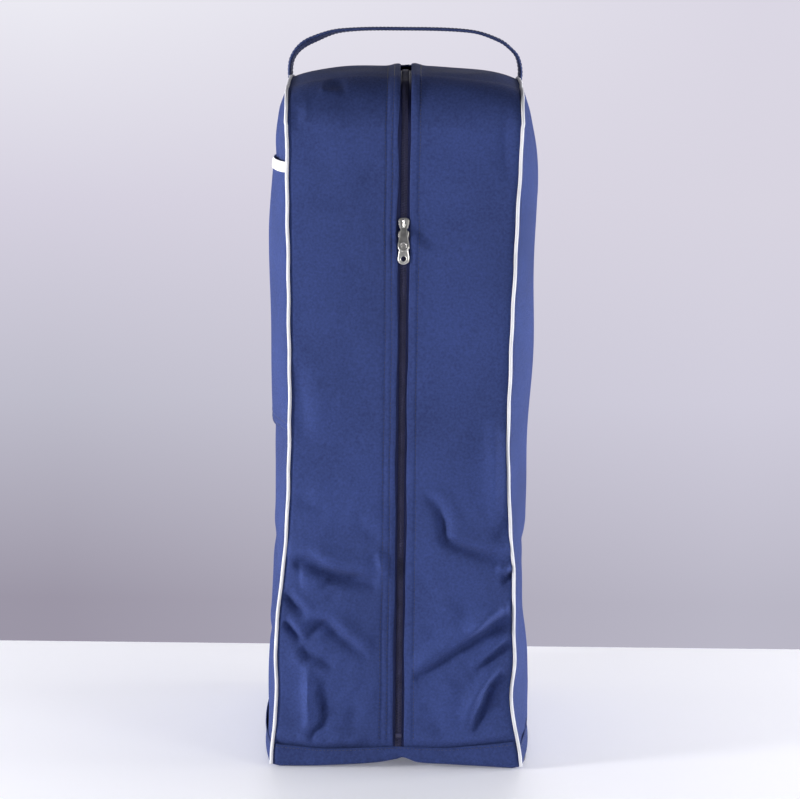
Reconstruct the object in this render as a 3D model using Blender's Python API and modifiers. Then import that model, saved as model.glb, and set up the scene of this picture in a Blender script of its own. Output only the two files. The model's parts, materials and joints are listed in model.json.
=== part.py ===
"""Tall zipped shoe and boot bag, modelled as its sewn panels, zip, handle and pocket.

The bag stands on the floor at z = 0. Its narrow zipped face looks along -Y, +X is to the right
seen from the front, and the origin is under the middle of the whole bag. Units are metres.
"""

import math

import bmesh
import bpy
from mathutils import Matrix, Vector

# Driving dimensions
FRONT_Y = -0.1455
BACK_Y = ((0.0, 0.1545), (0.06, 0.1515), (0.16, 0.1295), (0.28, 0.1080), (0.45, 0.1000), (0.62, 0.0960))
TOP_Z = 0.611
TOP_CROWN = 0.006
CORNER_R = 0.040
HEM_H = 0.022

# Half the distance between the two piped edges, by height
EDGE_X = ((0.0, 0.1115), (0.06, 0.1045), (0.105, 0.1055), (0.21, 0.0985), (0.30, 0.0958),
          (0.45, 0.0983), (0.62, 0.1035))
# How far a side panel stands out past its edges at mid depth, by height
BULGE = ((0.0, 0.008), (0.06, 0.014), (0.12, 0.010), (0.17, 0.0105), (0.25, 0.017), (0.40, 0.021),
         (0.52, 0.0195), (0.575, 0.013), (0.612, 0.0004))
# How far the left side panel sits in behind the pocket, by height
POCKET_ROOM = ((0.0, 0.0), (0.24, 0.0), (0.30, 0.0025), (0.36, 0.006), (0.45, 0.0112), (0.54, 0.0112), (0.62, 0.0))

CLOTH = 0.0015
GAP = 0.0003
PIPING_R = 0.00175
PIPING_ROOM = 0.0027
HEM_CORNER = 0.0048

POCKET_BOTTOM = 0.300
POCKET_TOP = 0.5372
POCKET_SET = 0.0021
POCKET_FLAT = 0.0025
BINDING_H = 0.0105

ZIP_SLOT = 0.0070
CHAIN_Y = FRONT_Y + 0.0020
COIL_IN, COIL_OUT, COIL_T = 0.0013, 0.0033, 0.0018
TAPE_OUT, TAPE_T = 0.0160, 0.0005
ZIP_BOTTOM = 0.0325
ZIP_TOP = TOP_Z - CORNER_R

SLIDER_W, SLIDER_H, WING_T = 0.0092, 0.0096, 0.0010
WING_IN = 0.0013
SLIDER_UPPER_Z, SLIDER_LOWER_Z = 0.4875, 0.4767
PIVOT_OUT = 0.00335
PULL_L, PULL_T = 0.0250, 0.0012
PULL_LEAN = math.radians(21.0)

HANDLE_Z = 0.618
HANDLE_Y = -0.022
HANDLE_W, HANDLE_T = 0.025, 0.0026
HANDLE_END_R = 0.0137
HANDLE_X = 0.1076
ANCHOR_Z = (0.6157, 0.6340)

HINGE_X = 0.1030
HINGE_Y = FRONT_Y - 0.0010


def blend(points, z):
    """Value at z on a smooth curve through (z, value) points."""
    last = len(points) - 1
    z = min(max(z, points[0][0]), points[last][0])
    i = max(k for k in range(last) if points[k][0] <= z)
    (z0, v0), (z1, v1) = points[i], points[i + 1]

    def slope(k):
        before, after = points[max(k - 1, 0)], points[min(k + 1, last)]
        return (after[1] - before[1]) / (after[0] - before[0])

    step = z1 - z0
    t = (z - z0) / step
    start = v0 * (1.0 + 2.0 * t) * (1.0 - t) ** 2 + slope(i) * step * t * (1.0 - t) ** 2
    return start + v1 * t * t * (3.0 - 2.0 * t) + slope(i + 1) * step * t * t * (t - 1.0)


def edge_x(z):
    """Half width between the piped edges at height z."""
    return blend(EDGE_X, z)


def side_rows(count):
    """Heights for the rows of a side panel, closer together round the top corner."""
    straight = [HEM_H + GAP + (ZIP_TOP - HEM_H) * i / count for i in range(count + 1)]
    curved = [ZIP_TOP + (CORNER_R - PIPING_ROOM) * math.sin(math.radians(15.0 * i)) for i in range(1, 7)]
    return straight + curved


def outline_y(z):
    """Front and back edges of a side panel at height z, with its two round top corners."""
    inset = PIPING_ROOM
    if z > ZIP_TOP:
        radius = CORNER_R - PIPING_ROOM
        rise = min(z - ZIP_TOP, radius)
        inset = CORNER_R - math.sqrt(radius ** 2 - rise ** 2)
    return FRONT_Y + inset, blend(BACK_Y, z) - inset


def crown(y):
    """Rise of the top above its two ends."""
    front, back = FRONT_Y + CORNER_R, blend(BACK_Y, TOP_Z) - CORNER_R
    t = max(-1.0, min(1.0, (2.0 * y - front - back) / (back - front)))
    return TOP_CROWN * (1.0 - t * t)


def outline_path(turns=6):
    """Points (y, z) of the side outline from the front hem over the top to the back hem."""
    heights = [HEM_H + GAP + (ZIP_TOP - HEM_H) * i / 12 for i in range(13)]
    front = [(FRONT_Y, z) for z in heights]
    back_top = blend(BACK_Y, TOP_Z)
    arcs = [math.radians(90.0 * i / turns) for i in range(1, turns + 1)]
    front_arc = [(FRONT_Y + CORNER_R * (1.0 - math.cos(a)), ZIP_TOP + CORNER_R * math.sin(a)) for a in arcs]
    flat = [FRONT_Y + CORNER_R + (back_top - FRONT_Y - 2.0 * CORNER_R) * i / 6 for i in range(1, 7)]
    top = [(y, TOP_Z + crown(y)) for y in flat]
    back_arc = [(back_top - CORNER_R * (1.0 - math.sin(a)), ZIP_TOP + CORNER_R * math.cos(a)) for a in arcs]
    back = [(blend(BACK_Y, z), z) for z in reversed(heights[:-1])]
    return front, front_arc + top, back_arc + back


def material(name, colour, roughness, metallic=0.0):
    """Plain Principled material."""
    made = bpy.data.materials.new(name)
    made.use_nodes = True
    shader = made.node_tree.nodes["Principled BSDF"]
    shader.inputs["Base Color"].default_value = (*colour, 1.0)
    shader.inputs["Roughness"].default_value = roughness
    shader.inputs["Metallic"].default_value = metallic
    made.diffuse_color = (*colour, 1.0)
    return made


def link(obj, collection, finish=None):
    """Put an object in its collection and give it its material."""
    collection.objects.link(obj)
    if finish:
        obj.data.materials.append(finish)
    return obj


def sheet(name, across, along, place, thickness, finish):
    """A thin closed sheet: a grid laid out by place(u, v), thickened evenly about its middle."""
    mesh = bpy.data.meshes.new(name)
    grid = bmesh.new()
    bmesh.ops.create_grid(grid, x_segments=across, y_segments=along, size=1.0)
    for vert in grid.verts:
        vert.co = Vector(place((vert.co.x + 1.0) / 2.0, (vert.co.y + 1.0) / 2.0))
    grid.to_mesh(mesh)
    grid.free()
    obj = link(bpy.data.objects.new(name, mesh), bag, finish)
    thicken(obj, thickness)
    return obj


def thicken(obj, thickness, offset=0.0):
    """Solidify an open sheet."""
    wall = obj.modifiers.new("thickness", "SOLIDIFY")
    wall.thickness = thickness
    wall.offset = offset
    wall.use_even_offset = True


def box(name, size, centre, collection, finish=None):
    """A box as a cube primitive scaled in its mesh."""
    mesh = bpy.data.meshes.new(name)
    cube = bmesh.new()
    bmesh.ops.create_cube(cube, size=1.0)
    bmesh.ops.scale(cube, vec=Vector(size), verts=cube.verts)
    cube.to_mesh(mesh)
    cube.free()
    obj = link(bpy.data.objects.new(name, mesh), collection, finish)
    obj.location = centre
    return obj


def cylinder(name, radius, length, centre, axis, sides, collection):
    """A capped cylinder along X or Y."""
    mesh = bpy.data.meshes.new(name)
    shape = bmesh.new()
    bmesh.ops.create_cone(shape, cap_ends=True, segments=sides, radius1=radius, radius2=radius, depth=length)
    turn = Matrix.Rotation(math.radians(90.0), 4, "Y" if axis == "X" else "X")
    bmesh.ops.transform(shape, matrix=turn, verts=shape.verts)
    shape.to_mesh(mesh)
    shape.free()
    obj = link(bpy.data.objects.new(name, mesh), collection)
    obj.location = centre
    return obj


def combine(target, tool, operation):
    """Exact Boolean of a tool, kept as a hidden wire, on a target."""
    tool.hide_render = True
    tool.display_type = "WIRE"
    step = target.modifiers.new(tool.name, "BOOLEAN")
    step.operation = operation
    step.object = tool
    step.solver = "EXACT"


def smooth_index(path, u):
    """Point at share u of a list of points."""
    return path[round(u * (len(path) - 1))]


def side_surface(sign, depth, z, inward=0.0):
    """Point on a side panel at share depth from front to back and height z."""
    front, back = outline_y(z)
    y = front + (back - front) * depth
    swell = 1.0 - abs(2.0 * depth - 1.0) ** 2.4
    x = edge_x(z) + (blend(BULGE, z) - inward) * swell
    lift = crown(y) * max(0.0, (z - ZIP_TOP) / CORNER_R) ** 2
    return sign * x, y, z + lift


def make_sides(cloth):
    """The two side panels. The left one sits in a little behind the pocket."""
    rows = side_rows(12)
    for name, sign in (("side_panel_left", -1), ("side_panel_right", 1)):
        def place(u, v, sign=sign):
            z = smooth_index(rows, v)
            return side_surface(sign, u, z, blend(POCKET_ROOM, z) if sign < 0 else 0.0)
        sheet(name, 8, len(rows) - 1, place, CLOTH, cloth)


def make_pocket(cloth, white):
    """The slip pocket on the left side and the binding along its mouth."""
    def pocket(u, v):
        x, y, z = side_surface(-1, 0.01 + 0.98 * u, POCKET_BOTTOM + (POCKET_TOP - POCKET_BOTTOM) * v, POCKET_FLAT)
        return x - POCKET_SET, y, z

    def mouth(u, v):
        x, y, z = side_surface(-1, 0.01 + 0.98 * u, POCKET_TOP + GAP + BINDING_H * v, POCKET_FLAT)
        return x - POCKET_SET, y, z

    sheet("pocket_panel", 8, 6, pocket, CLOTH, cloth)
    sheet("pocket_binding", 8, 1, mouth, CLOTH + 0.0009, white)


def make_faces(cloth):
    """Front, top and back panels between the piped edges."""
    front, top, back = outline_path()
    joined_top = [front[-1]] + top

    def face(sign, path):
        def place(u, v):
            y, z = smooth_index(path, v)
            outer = edge_x(z) - PIPING_ROOM - GAP
            return sign * (ZIP_SLOT + (outer - ZIP_SLOT) * u), y, z
        return place

    front[-1] = (FRONT_Y, ZIP_TOP - GAP)
    for side, sign in (("left", -1), ("right", 1)):
        panel = sheet("front_panel_" + side, 3, len(front) - 1, face(sign, front), CLOTH, cloth)
        hang(panel, flap_pivots[side])
        sheet("top_panel_" + side, 3, len(joined_top) - 1, face(sign, joined_top), CLOTH, cloth)

    rear = [(top[-1][0] + GAP, top[-1][1])] + back

    def behind(u, v):
        y, z = smooth_index(rear, v)
        return (2.0 * u - 1.0) * (edge_x(z) - PIPING_ROOM - GAP), y, z

    sheet("back_panel", 6, len(rear) - 1, behind, CLOTH, cloth)


def tube(name, points, radius, finish):
    """Round cord along points."""
    curve = bpy.data.curves.new(name, "CURVE")
    curve.dimensions = "3D"
    curve.bevel_depth = radius
    curve.bevel_resolution = 2
    curve.use_fill_caps = True
    line = curve.splines.new("POLY")
    line.points.add(len(points) - 1)
    for spot, place in zip(line.points, points):
        spot.co = (*place, 1.0)
    return link(bpy.data.objects.new(name, curve), bag, finish)


def make_edges(white, binding):
    """Piping along both outlines, and the binding over the seam allowance inside it."""
    front, top, back = outline_path()
    low = PIPING_R + GAP
    path = [(FRONT_Y, low)] + front + top + back + [(blend(BACK_Y, low), low)]
    for side, sign in (("left", -1), ("right", 1)):
        tube("piping_" + side, [(sign * edge_x(z), y, z) for y, z in path], PIPING_R, white)

        def place(u, v, sign=sign):
            y, z = smooth_index(inner, v)
            return sign * (edge_x(z) - 0.0030 - 0.0060 * u), y, z

        centre_y = (FRONT_Y + BACK_Y[-1][1]) / 2.0
        inner = [inset_point(y, z, centre_y) for y, z in front[1:] + top + back[:-1]]
        sheet("seam_binding_" + side, 1, len(inner) - 1, place, 0.0008, binding)


def inset_point(y, z, centre_y, step=0.0060):
    """A point of the outline moved inwards, for what is sewn inside the corner."""
    low = min(z, ZIP_TOP)
    towards = Vector((centre_y - y if z > ZIP_TOP else math.copysign(1.0, centre_y - y), low - z))
    if z >= TOP_Z:
        towards = Vector((0.0, -1.0))
    towards.normalize()
    return y + step * towards.x, z + step * towards.y


def base_point(u, v, inset=0.0):
    """Point in the plan of the base, with its four corners cut back for the piping."""
    front, back = FRONT_Y + inset, BACK_Y[0][1] - inset
    y = front + (back - front) * v
    swell = 1.0 - abs(2.0 * v - 1.0) ** 2.4
    half = edge_x(0.0) + BULGE[0][1] * swell - inset
    cut = max(0.0, HEM_CORNER - min(y - front, back - y))
    return (2.0 * u - 1.0) * (half - cut), y


def make_base(cloth, board):
    """The base panel with its turned-up hem band, and the stiffener board inside."""
    columns, rows = 6, 12
    mesh = bpy.data.meshes.new("base_panel")
    tray = bmesh.new()
    bmesh.ops.create_grid(tray, x_segments=columns, y_segments=rows, size=1.0)
    depth = BACK_Y[0][1] - FRONT_Y
    edge_rows = {1: HEM_CORNER / depth, rows - 1: 1.0 - HEM_CORNER / depth}
    for vert in tray.verts:
        row = round((vert.co.y + 1.0) / 2.0 * rows)
        share = edge_rows.get(row, row / rows)
        vert.co = Vector((*base_point((vert.co.x + 1.0) / 2.0, share), CLOTH / 2.0))
    rim = [edge for edge in tray.edges if edge.is_boundary]
    raised = bmesh.ops.extrude_edge_only(tray, edges=rim)["geom"]
    for vert in (item for item in raised if isinstance(item, bmesh.types.BMVert)):
        vert.co.x *= edge_x(HEM_H) / edge_x(0.0)
        vert.co.z = HEM_H
    tray.to_mesh(mesh)
    tray.free()
    thicken(link(bpy.data.objects.new("base_panel", mesh), bag, cloth), CLOTH)

    height = CLOTH + GAP + 0.00125
    sheet("base_board", 2, 6, lambda u, v: (*base_point(u, v, 0.0035), height), 0.0025, board)


def strip(name, path, x_in, x_out, sign, thickness, finish):
    """A band along a path of (y, z) points, between two distances from the middle."""
    def place(u, v):
        y, z = smooth_index(path, v)
        return sign * (x_in + (x_out - x_in) * u), y, z
    return sheet(name, 1, len(path) - 1, place, thickness, finish)


def chain_path():
    """Path of the zip chain over the top, set in behind the panels."""
    _, top, _ = outline_path()
    centre_y = (FRONT_Y + BACK_Y[-1][1]) / 2.0
    sink = CHAIN_Y - FRONT_Y
    bent = [inset_point(y, z, centre_y, sink) for y, z in top]
    return [(CHAIN_Y, ZIP_TOP + GAP)] + bent[:-1]


def make_zip(tape, coil, metal, cloth):
    """Two stringers of tape and coil down the front and over the top, their stops and end tab."""
    front = [(CHAIN_Y, ZIP_BOTTOM), (CHAIN_Y, ZIP_TOP - GAP)]
    over = chain_path()
    for side, sign in (("left", -1), ("right", 1)):
        web = strip("zip_tape_" + side, front, COIL_OUT + GAP, TAPE_OUT, sign, TAPE_T, tape)
        teeth = strip("zip_coil_" + side, front, COIL_IN, COIL_OUT, sign, COIL_T, coil)
        hang(web, flap_pivots[side])
        hang(teeth, flap_pivots[side])
        strip("zip_tape_top_" + side, over, COIL_OUT + GAP, TAPE_OUT, sign, TAPE_T, tape)
        strip("zip_coil_top_" + side, over, COIL_IN, COIL_OUT, sign, COIL_T, coil)

    box("zip_stop_bottom", (0.0060, 0.0024, 0.0040), (0.0, CHAIN_Y, ZIP_BOTTOM - 0.0024), bag, metal)
    end_y, end_z = over[-1]
    box("zip_stop_top", (0.0060, 0.0034, 0.0022), (0.0, end_y + 0.0026, end_z - 0.0006), bag, metal)
    tab_y = end_y + 0.0110
    box("zip_end_tab", (0.0130, 0.0120, 0.0016), (0.0, tab_y, TOP_Z + crown(tab_y) - 0.0006), bag, cloth)


def make_slider(name, z, metal):
    """A slider: two wings joined by a post between the coils, and a bail for its pull."""
    front_y, back_y = CHAIN_Y - WING_IN - WING_T / 2.0, CHAIN_Y + WING_IN + WING_T / 2.0
    body = box(name, (SLIDER_W, WING_T, SLIDER_H), (0.0, front_y, z), bag, metal)
    post_depth = 2.0 * WING_IN + WING_T
    tools = (
        (name + "_back_wing", (SLIDER_W, WING_T, SLIDER_H), (0.0, back_y, z)),
        (name + "_post", (0.0018, post_depth, 0.0040), (0.0, CHAIN_Y, z)),
        (name + "_bail", (0.0018, 0.0036, 0.0058), (0.0, front_y - 0.0018, z)),
    )
    for tool_name, size, centre in tools:
        combine(body, box(tool_name, size, centre, cutters), "UNION")
    window = box(name + "_window", (0.0040, 0.0021, 0.0036), (0.0, CHAIN_Y - PIVOT_OUT, z), cutters)
    combine(body, window, "DIFFERENCE")
    return body


def make_pull(name, z, lean, metal):
    """A tapered pull with a window round the bail and a round hole, hung from its cross bar."""
    pivot = bpy.data.objects.new(name + "_pivot", None)
    bag.objects.link(pivot)
    pivot.location = (0.0, CHAIN_Y - PIVOT_OUT, z)
    pivot.rotation_euler = (-lean, 0.0, 0.0)

    mesh = bpy.data.meshes.new(name)
    plate = bmesh.new()
    bmesh.ops.create_grid(plate, x_segments=1, y_segments=4, size=1.0)
    shares = ((0.00065, 0.0025), (-0.0050, 0.0026), (-0.0170, 0.0050), (-0.0215, 0.0053), (-PULL_L, 0.0036))
    for vert in plate.verts:
        height, half = shares[round((1.0 - vert.co.y) * 2.0)]
        vert.co = Vector((math.copysign(half, vert.co.x), 0.0, height))
    plate.to_mesh(mesh)
    plate.free()
    pull = link(bpy.data.objects.new(name, mesh), bag, metal)
    thicken(pull, PULL_T)
    window = box(name + "_window", (0.0028, 0.0040, 0.0037), (0.0, 0.0, -0.0025), cutters)
    hole = cylinder(name + "_hole", 0.0021, 0.0040, (0.0, 0.0, -0.0195), "Y", 12, cutters)
    for tool in (window, hole):
        combine(pull, tool, "DIFFERENCE")
        tool.parent = pivot
    pull.parent = pivot
    return pull


def handle_centre(u):
    """Middle of the handle webbing at share u from its left end to its right end."""
    angle = math.pi * (1.0 - u)
    x, rise = math.cos(angle), math.sin(angle)
    return HANDLE_X * math.copysign(abs(x) ** 0.50, x), HANDLE_Z + 0.0345 * rise ** 0.62


def make_handle(web):
    """The webbing handle, free above the ends that are sewn down on the side panels."""
    def arch(u, v):
        x, z = handle_centre(u)
        return x, HANDLE_Y + HANDLE_W * (v - 0.5), z

    pivot = bpy.data.objects.new("handle_pivot", None)
    bag.objects.link(pivot)
    pivot.location = (0.0, HANDLE_Y, HANDLE_Z)
    strap = sheet("handle_strap", 28, 2, arch, HANDLE_T, web)
    round_end = cylinder("handle_free_end", HANDLE_END_R + GAP, 0.3, (0.0, HANDLE_Y, HANDLE_Z), "X", 32, cutters)
    combine(strap, round_end, "DIFFERENCE")
    hang(strap, pivot)

    for side, sign in (("left", -1), ("right", 1)):
        size = (HANDLE_T, HANDLE_W, ANCHOR_Z[1] - ANCHOR_Z[0])
        end = box("handle_anchor_" + side, size, (sign * HANDLE_X, HANDLE_Y, sum(ANCHOR_Z) / 2.0), bag, web)
        keep = cylinder("handle_sewn_end_" + side, HANDLE_END_R, 0.3, (0.0, HANDLE_Y, HANDLE_Z), "X", 32, cutters)
        combine(end, keep, "INTERSECT")


def hang(obj, pivot):
    """Parent an object modelled in place to a pivot, so that its origin is on the joint's axis."""
    if obj.type == "MESH":
        obj.data.transform(Matrix.Translation(-pivot.location))
    obj.parent = pivot


def clear_scene():
    """Empty the scene."""
    for obj in list(bpy.data.objects):
        bpy.data.objects.remove(obj, do_unlink=True)


clear_scene()
bag = bpy.data.collections.new("tall_shoe_bag")
cutters = bpy.data.collections.new("cutters")
for folder in (bag, cutters):
    bpy.context.scene.collection.children.link(folder)

flap_pivots = {}
for side_name, side_sign in (("left", -1), ("right", 1)):
    flap_pivots[side_name] = bpy.data.objects.new("flap_pivot_" + side_name, None)
    bag.objects.link(flap_pivots[side_name])
    flap_pivots[side_name].location = (side_sign * HINGE_X, HINGE_Y, 0.0)

NAVY = material("navy_canvas", (0.038, 0.055, 0.165), 0.85)
WHITE = material("white_piping", (0.80, 0.81, 0.83), 0.55)
BINDING = material("seam_tape", (0.018, 0.020, 0.035), 0.85)
BLACK_TAPE = material("zip_tape", (0.012, 0.012, 0.016), 0.85)
COIL = material("zip_coil", (0.015, 0.015, 0.018), 0.45)
NICKEL = material("nickel", (0.62, 0.61, 0.58), 0.25, 1.0)
WEBBING = material("webbing", (0.030, 0.043, 0.130), 0.80)
BOARD = material("board", (0.10, 0.10, 0.11), 0.70)

make_base(NAVY, BOARD)
make_sides(NAVY)
make_pocket(NAVY, WHITE)
make_faces(NAVY)
make_edges(WHITE, BINDING)
make_zip(BLACK_TAPE, COIL, NICKEL, NAVY)
make_slider("slider_upper", SLIDER_UPPER_Z, NICKEL)
make_slider("slider_lower", SLIDER_LOWER_Z, NICKEL)
make_pull("pull_upper", SLIDER_UPPER_Z, PULL_LEAN, NICKEL)
make_pull("pull_lower", SLIDER_LOWER_Z, 0.0, NICKEL)
make_handle(WEBBING)
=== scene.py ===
"""Looks of the tall shoe and boot bag: cloth panels with their folds, piping, zip, pocket and handle.

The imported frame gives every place; this script makes the visible surfaces around it. Metres, +Z up,
the zipped front looks along -Y.
"""

import json
import logging
import math
from dataclasses import dataclass, field
from enum import Enum
from typing import Callable, Sequence

import bpy
import numpy as np
from mathutils import Matrix, Vector


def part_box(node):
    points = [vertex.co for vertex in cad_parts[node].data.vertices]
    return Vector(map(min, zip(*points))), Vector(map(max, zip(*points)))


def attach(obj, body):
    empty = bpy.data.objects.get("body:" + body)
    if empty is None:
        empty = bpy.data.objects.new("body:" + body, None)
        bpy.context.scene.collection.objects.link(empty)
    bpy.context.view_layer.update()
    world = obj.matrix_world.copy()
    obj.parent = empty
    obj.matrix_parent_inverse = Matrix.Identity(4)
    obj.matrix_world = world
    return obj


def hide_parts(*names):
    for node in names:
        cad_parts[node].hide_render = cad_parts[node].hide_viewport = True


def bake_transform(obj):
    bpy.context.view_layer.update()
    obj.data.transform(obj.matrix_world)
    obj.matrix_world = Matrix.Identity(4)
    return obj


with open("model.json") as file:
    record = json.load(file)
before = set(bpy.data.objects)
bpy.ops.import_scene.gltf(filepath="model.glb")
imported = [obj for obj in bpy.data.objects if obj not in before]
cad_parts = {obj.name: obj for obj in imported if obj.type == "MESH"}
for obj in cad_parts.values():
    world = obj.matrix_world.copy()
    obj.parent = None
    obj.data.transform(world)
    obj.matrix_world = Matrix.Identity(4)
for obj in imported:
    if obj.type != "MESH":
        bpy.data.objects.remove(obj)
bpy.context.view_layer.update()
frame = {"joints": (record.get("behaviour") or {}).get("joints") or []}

log = logging.getLogger("shoe_bag")

Array = np.ndarray
Points = Sequence[tuple[float, float]]
Place = Callable[[Array, Array], Array]


class Side(Enum):
    """The two sides of the bag, with the sign of their x."""

    LEFT = -1
    RIGHT = 1

    @property
    def word(self) -> str:
        """Name of the side as it stands in piece names."""
        return self.name.lower()


class Slot(Enum):
    """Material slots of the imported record."""

    CANVAS = "canvas"
    PIPING = "piping"
    SEAM_TAPE = "seam_tape"
    ZIP_TAPE = "zip_tape"
    ZIP_COIL = "zip_coil"
    NICKEL = "nickel"
    WEBBING = "webbing"
    BOARD = "board"


# ---------------------------------------------------------------------------------------------
# Curves and relief
# ---------------------------------------------------------------------------------------------


def smoothstep(t: Array | float) -> Array | float:
    """Smooth ramp from 0 to 1."""
    t = np.clip(t, 0.0, 1.0)
    return t * t * (3.0 - 2.0 * t)


def bump(distance: Array, width: float) -> Array:
    """Rounded bump of height 1 that dies away over a width."""
    return np.exp(-((distance / width) ** 2))


@dataclass(frozen=True)
class Curve:
    """A smooth curve through a few (position, value) points."""

    points: Points

    def __call__(self, at: Array | float) -> Array:
        """Value at each position.

        Args:
            at: Positions along the curve.

        Returns:
            Catmull-Rom values, held level past both ends.
        """
        knots = np.array(self.points, float)
        x, y = knots[:, 0], knots[:, 1]
        slope = np.empty_like(y)
        slope[1:-1] = (y[2:] - y[:-2]) / (x[2:] - x[:-2])
        slope[0] = (y[1] - y[0]) / (x[1] - x[0])
        slope[-1] = (y[-1] - y[-2]) / (x[-1] - x[-2])
        at = np.clip(np.asarray(at, float), x[0], x[-1])
        i = np.clip(np.searchsorted(x, at, side="right") - 1, 0, len(x) - 2)
        step = x[i + 1] - x[i]
        t = (at - x[i]) / step
        start = y[i] * (1 + 2 * t) * (1 - t) ** 2 + slope[i] * step * t * (1 - t) ** 2
        return start + y[i + 1] * t * t * (3 - 2 * t) + slope[i + 1] * step * t * t * (t - 1)


@dataclass(frozen=True)
class Ripple:
    """Soft uneven waves of cloth, the same for the same seed."""

    seed: int
    wavelength: float
    height: float
    waves: int = 7
    stretch: float = 1.0

    def __call__(self, a: Array, b: Array) -> Array:
        """Height of the waves.

        Args:
            a: Distance across the cloth.
            b: Distance along the cloth.

        Returns:
            Height at each point.
        """
        draw = np.random.default_rng(self.seed)
        total = np.zeros_like(np.asarray(a, float))
        for _ in range(self.waves):
            angle, phase = draw.uniform(0, math.pi), draw.uniform(0, 2 * math.pi)
            length = self.wavelength * draw.uniform(0.6, 1.7)
            along = (a * math.cos(angle) + b * math.sin(angle) * self.stretch) / length
            total = total + np.sin(2 * math.pi * along + phase) * draw.uniform(0.5, 1.0)
        return total * self.height / math.sqrt(self.waves)


@dataclass(frozen=True)
class Fold:
    """A crease in cloth: a valley along a line, with the cloth heaped up on one side of it."""

    line: Points
    depth: float
    width: float = 0.0045
    heap: float = 0.0
    heap_side: int = 1
    blunt: float = 0.35

    def __call__(self, a: Array, b: Array) -> Array:
        """Relief that this fold adds.

        Args:
            a: First coordinate of the cloth's points.
            b: Second coordinate of the cloth's points.

        Returns:
            Height above the flat cloth, negative in the valley.
        """
        best = np.full(a.shape, 9.0)
        signed, share = np.zeros(a.shape), np.zeros(a.shape)
        line = np.array(smooth_line(self.line, 5))
        lengths = np.hypot(*np.diff(line, axis=0).T)
        total, before = lengths.sum(), 0.0
        for start, end, length in zip(line[:-1], line[1:], lengths):
            run = (end - start) / length
            da, db = a - start[0], b - start[1]
            along = np.clip(da * run[0] + db * run[1], 0.0, length)
            off_a, off_b = da - along * run[0], db - along * run[1]
            distance = np.hypot(off_a, off_b)
            nearer = distance < best
            side = np.sign(run[0] * off_b - run[1] * off_a)
            best = np.where(nearer, distance, best)
            signed = np.where(nearer, side * distance, signed)
            share = np.where(nearer, (before + along) / total, share)
            before += length
        taper = smoothstep(share / self.blunt) * smoothstep((1.0 - share) / self.blunt)
        valley = -self.depth * np.exp(-((best / self.width) ** 1.5))
        heaped = self.heap * bump(signed * self.heap_side - 1.7 * self.width, 1.35 * self.width)
        return (valley + heaped) * (0.25 + 0.75 * taper) * smoothstep(taper * 4.0)


def smooth_line(points: Points, pieces: int) -> list[tuple[float, float]]:
    """Points on a smooth line through a few given points."""
    knots = np.array(points, float)
    if len(knots) == 2:
        return [tuple(p) for p in knots]
    steps = np.arange(len(knots), dtype=float)
    fine = np.linspace(0, len(knots) - 1, (len(knots) - 1) * pieces + 1)
    first, second = (Curve(tuple(zip(steps, knots[:, k])))(fine) for k in (0, 1))
    return list(zip(first, second))


# ---------------------------------------------------------------------------------------------
# Meshes
# ---------------------------------------------------------------------------------------------

BAG_HEART = np.array([0.0, -0.02, 0.30])
TOP_EDGE_Z = 0.606


def deselect() -> None:
    """Leave nothing selected and no edit mode open."""
    if bpy.context.object and bpy.context.object.mode != "OBJECT":
        bpy.ops.object.mode_set(mode="OBJECT")
    bpy.ops.object.select_all(action="DESELECT")


def pick(obj: bpy.types.Object) -> bpy.types.Object:
    """Make one object the only selected and active one."""
    deselect()
    obj.select_set(True)
    bpy.context.view_layer.objects.active = obj
    return obj


def settle(obj: bpy.types.Object) -> bpy.types.Object:
    """Apply an object's transforms, so that its place is in its mesh."""
    pick(obj)
    bpy.ops.object.transform_apply(location=True, rotation=True, scale=True)
    return obj


def finish_mesh(obj: bpy.types.Object, name: str, finishes: Sequence[bpy.types.Material],
                angle: float = 40.0) -> None:
    """Name a mesh, shade it smooth and give it its materials."""
    obj.name = name
    obj.data.name = name
    obj.data.materials.clear()
    for finish in finishes:
        obj.data.materials.append(finish)
    pick(obj)
    bpy.ops.object.shade_smooth_by_angle(angle=math.radians(angle))


def vertices(obj: bpy.types.Object) -> Array:
    """Coordinates of a mesh's vertices."""
    flat = np.empty(len(obj.data.vertices) * 3, np.float32)
    obj.data.vertices.foreach_get("co", flat)
    return flat.reshape(-1, 3).astype(float)


def move_vertices(obj: bpy.types.Object, places: Array) -> None:
    """Set the coordinates of a mesh's vertices."""
    obj.data.vertices.foreach_set("co", places.astype(np.float32).ravel())
    obj.data.update()


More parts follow.
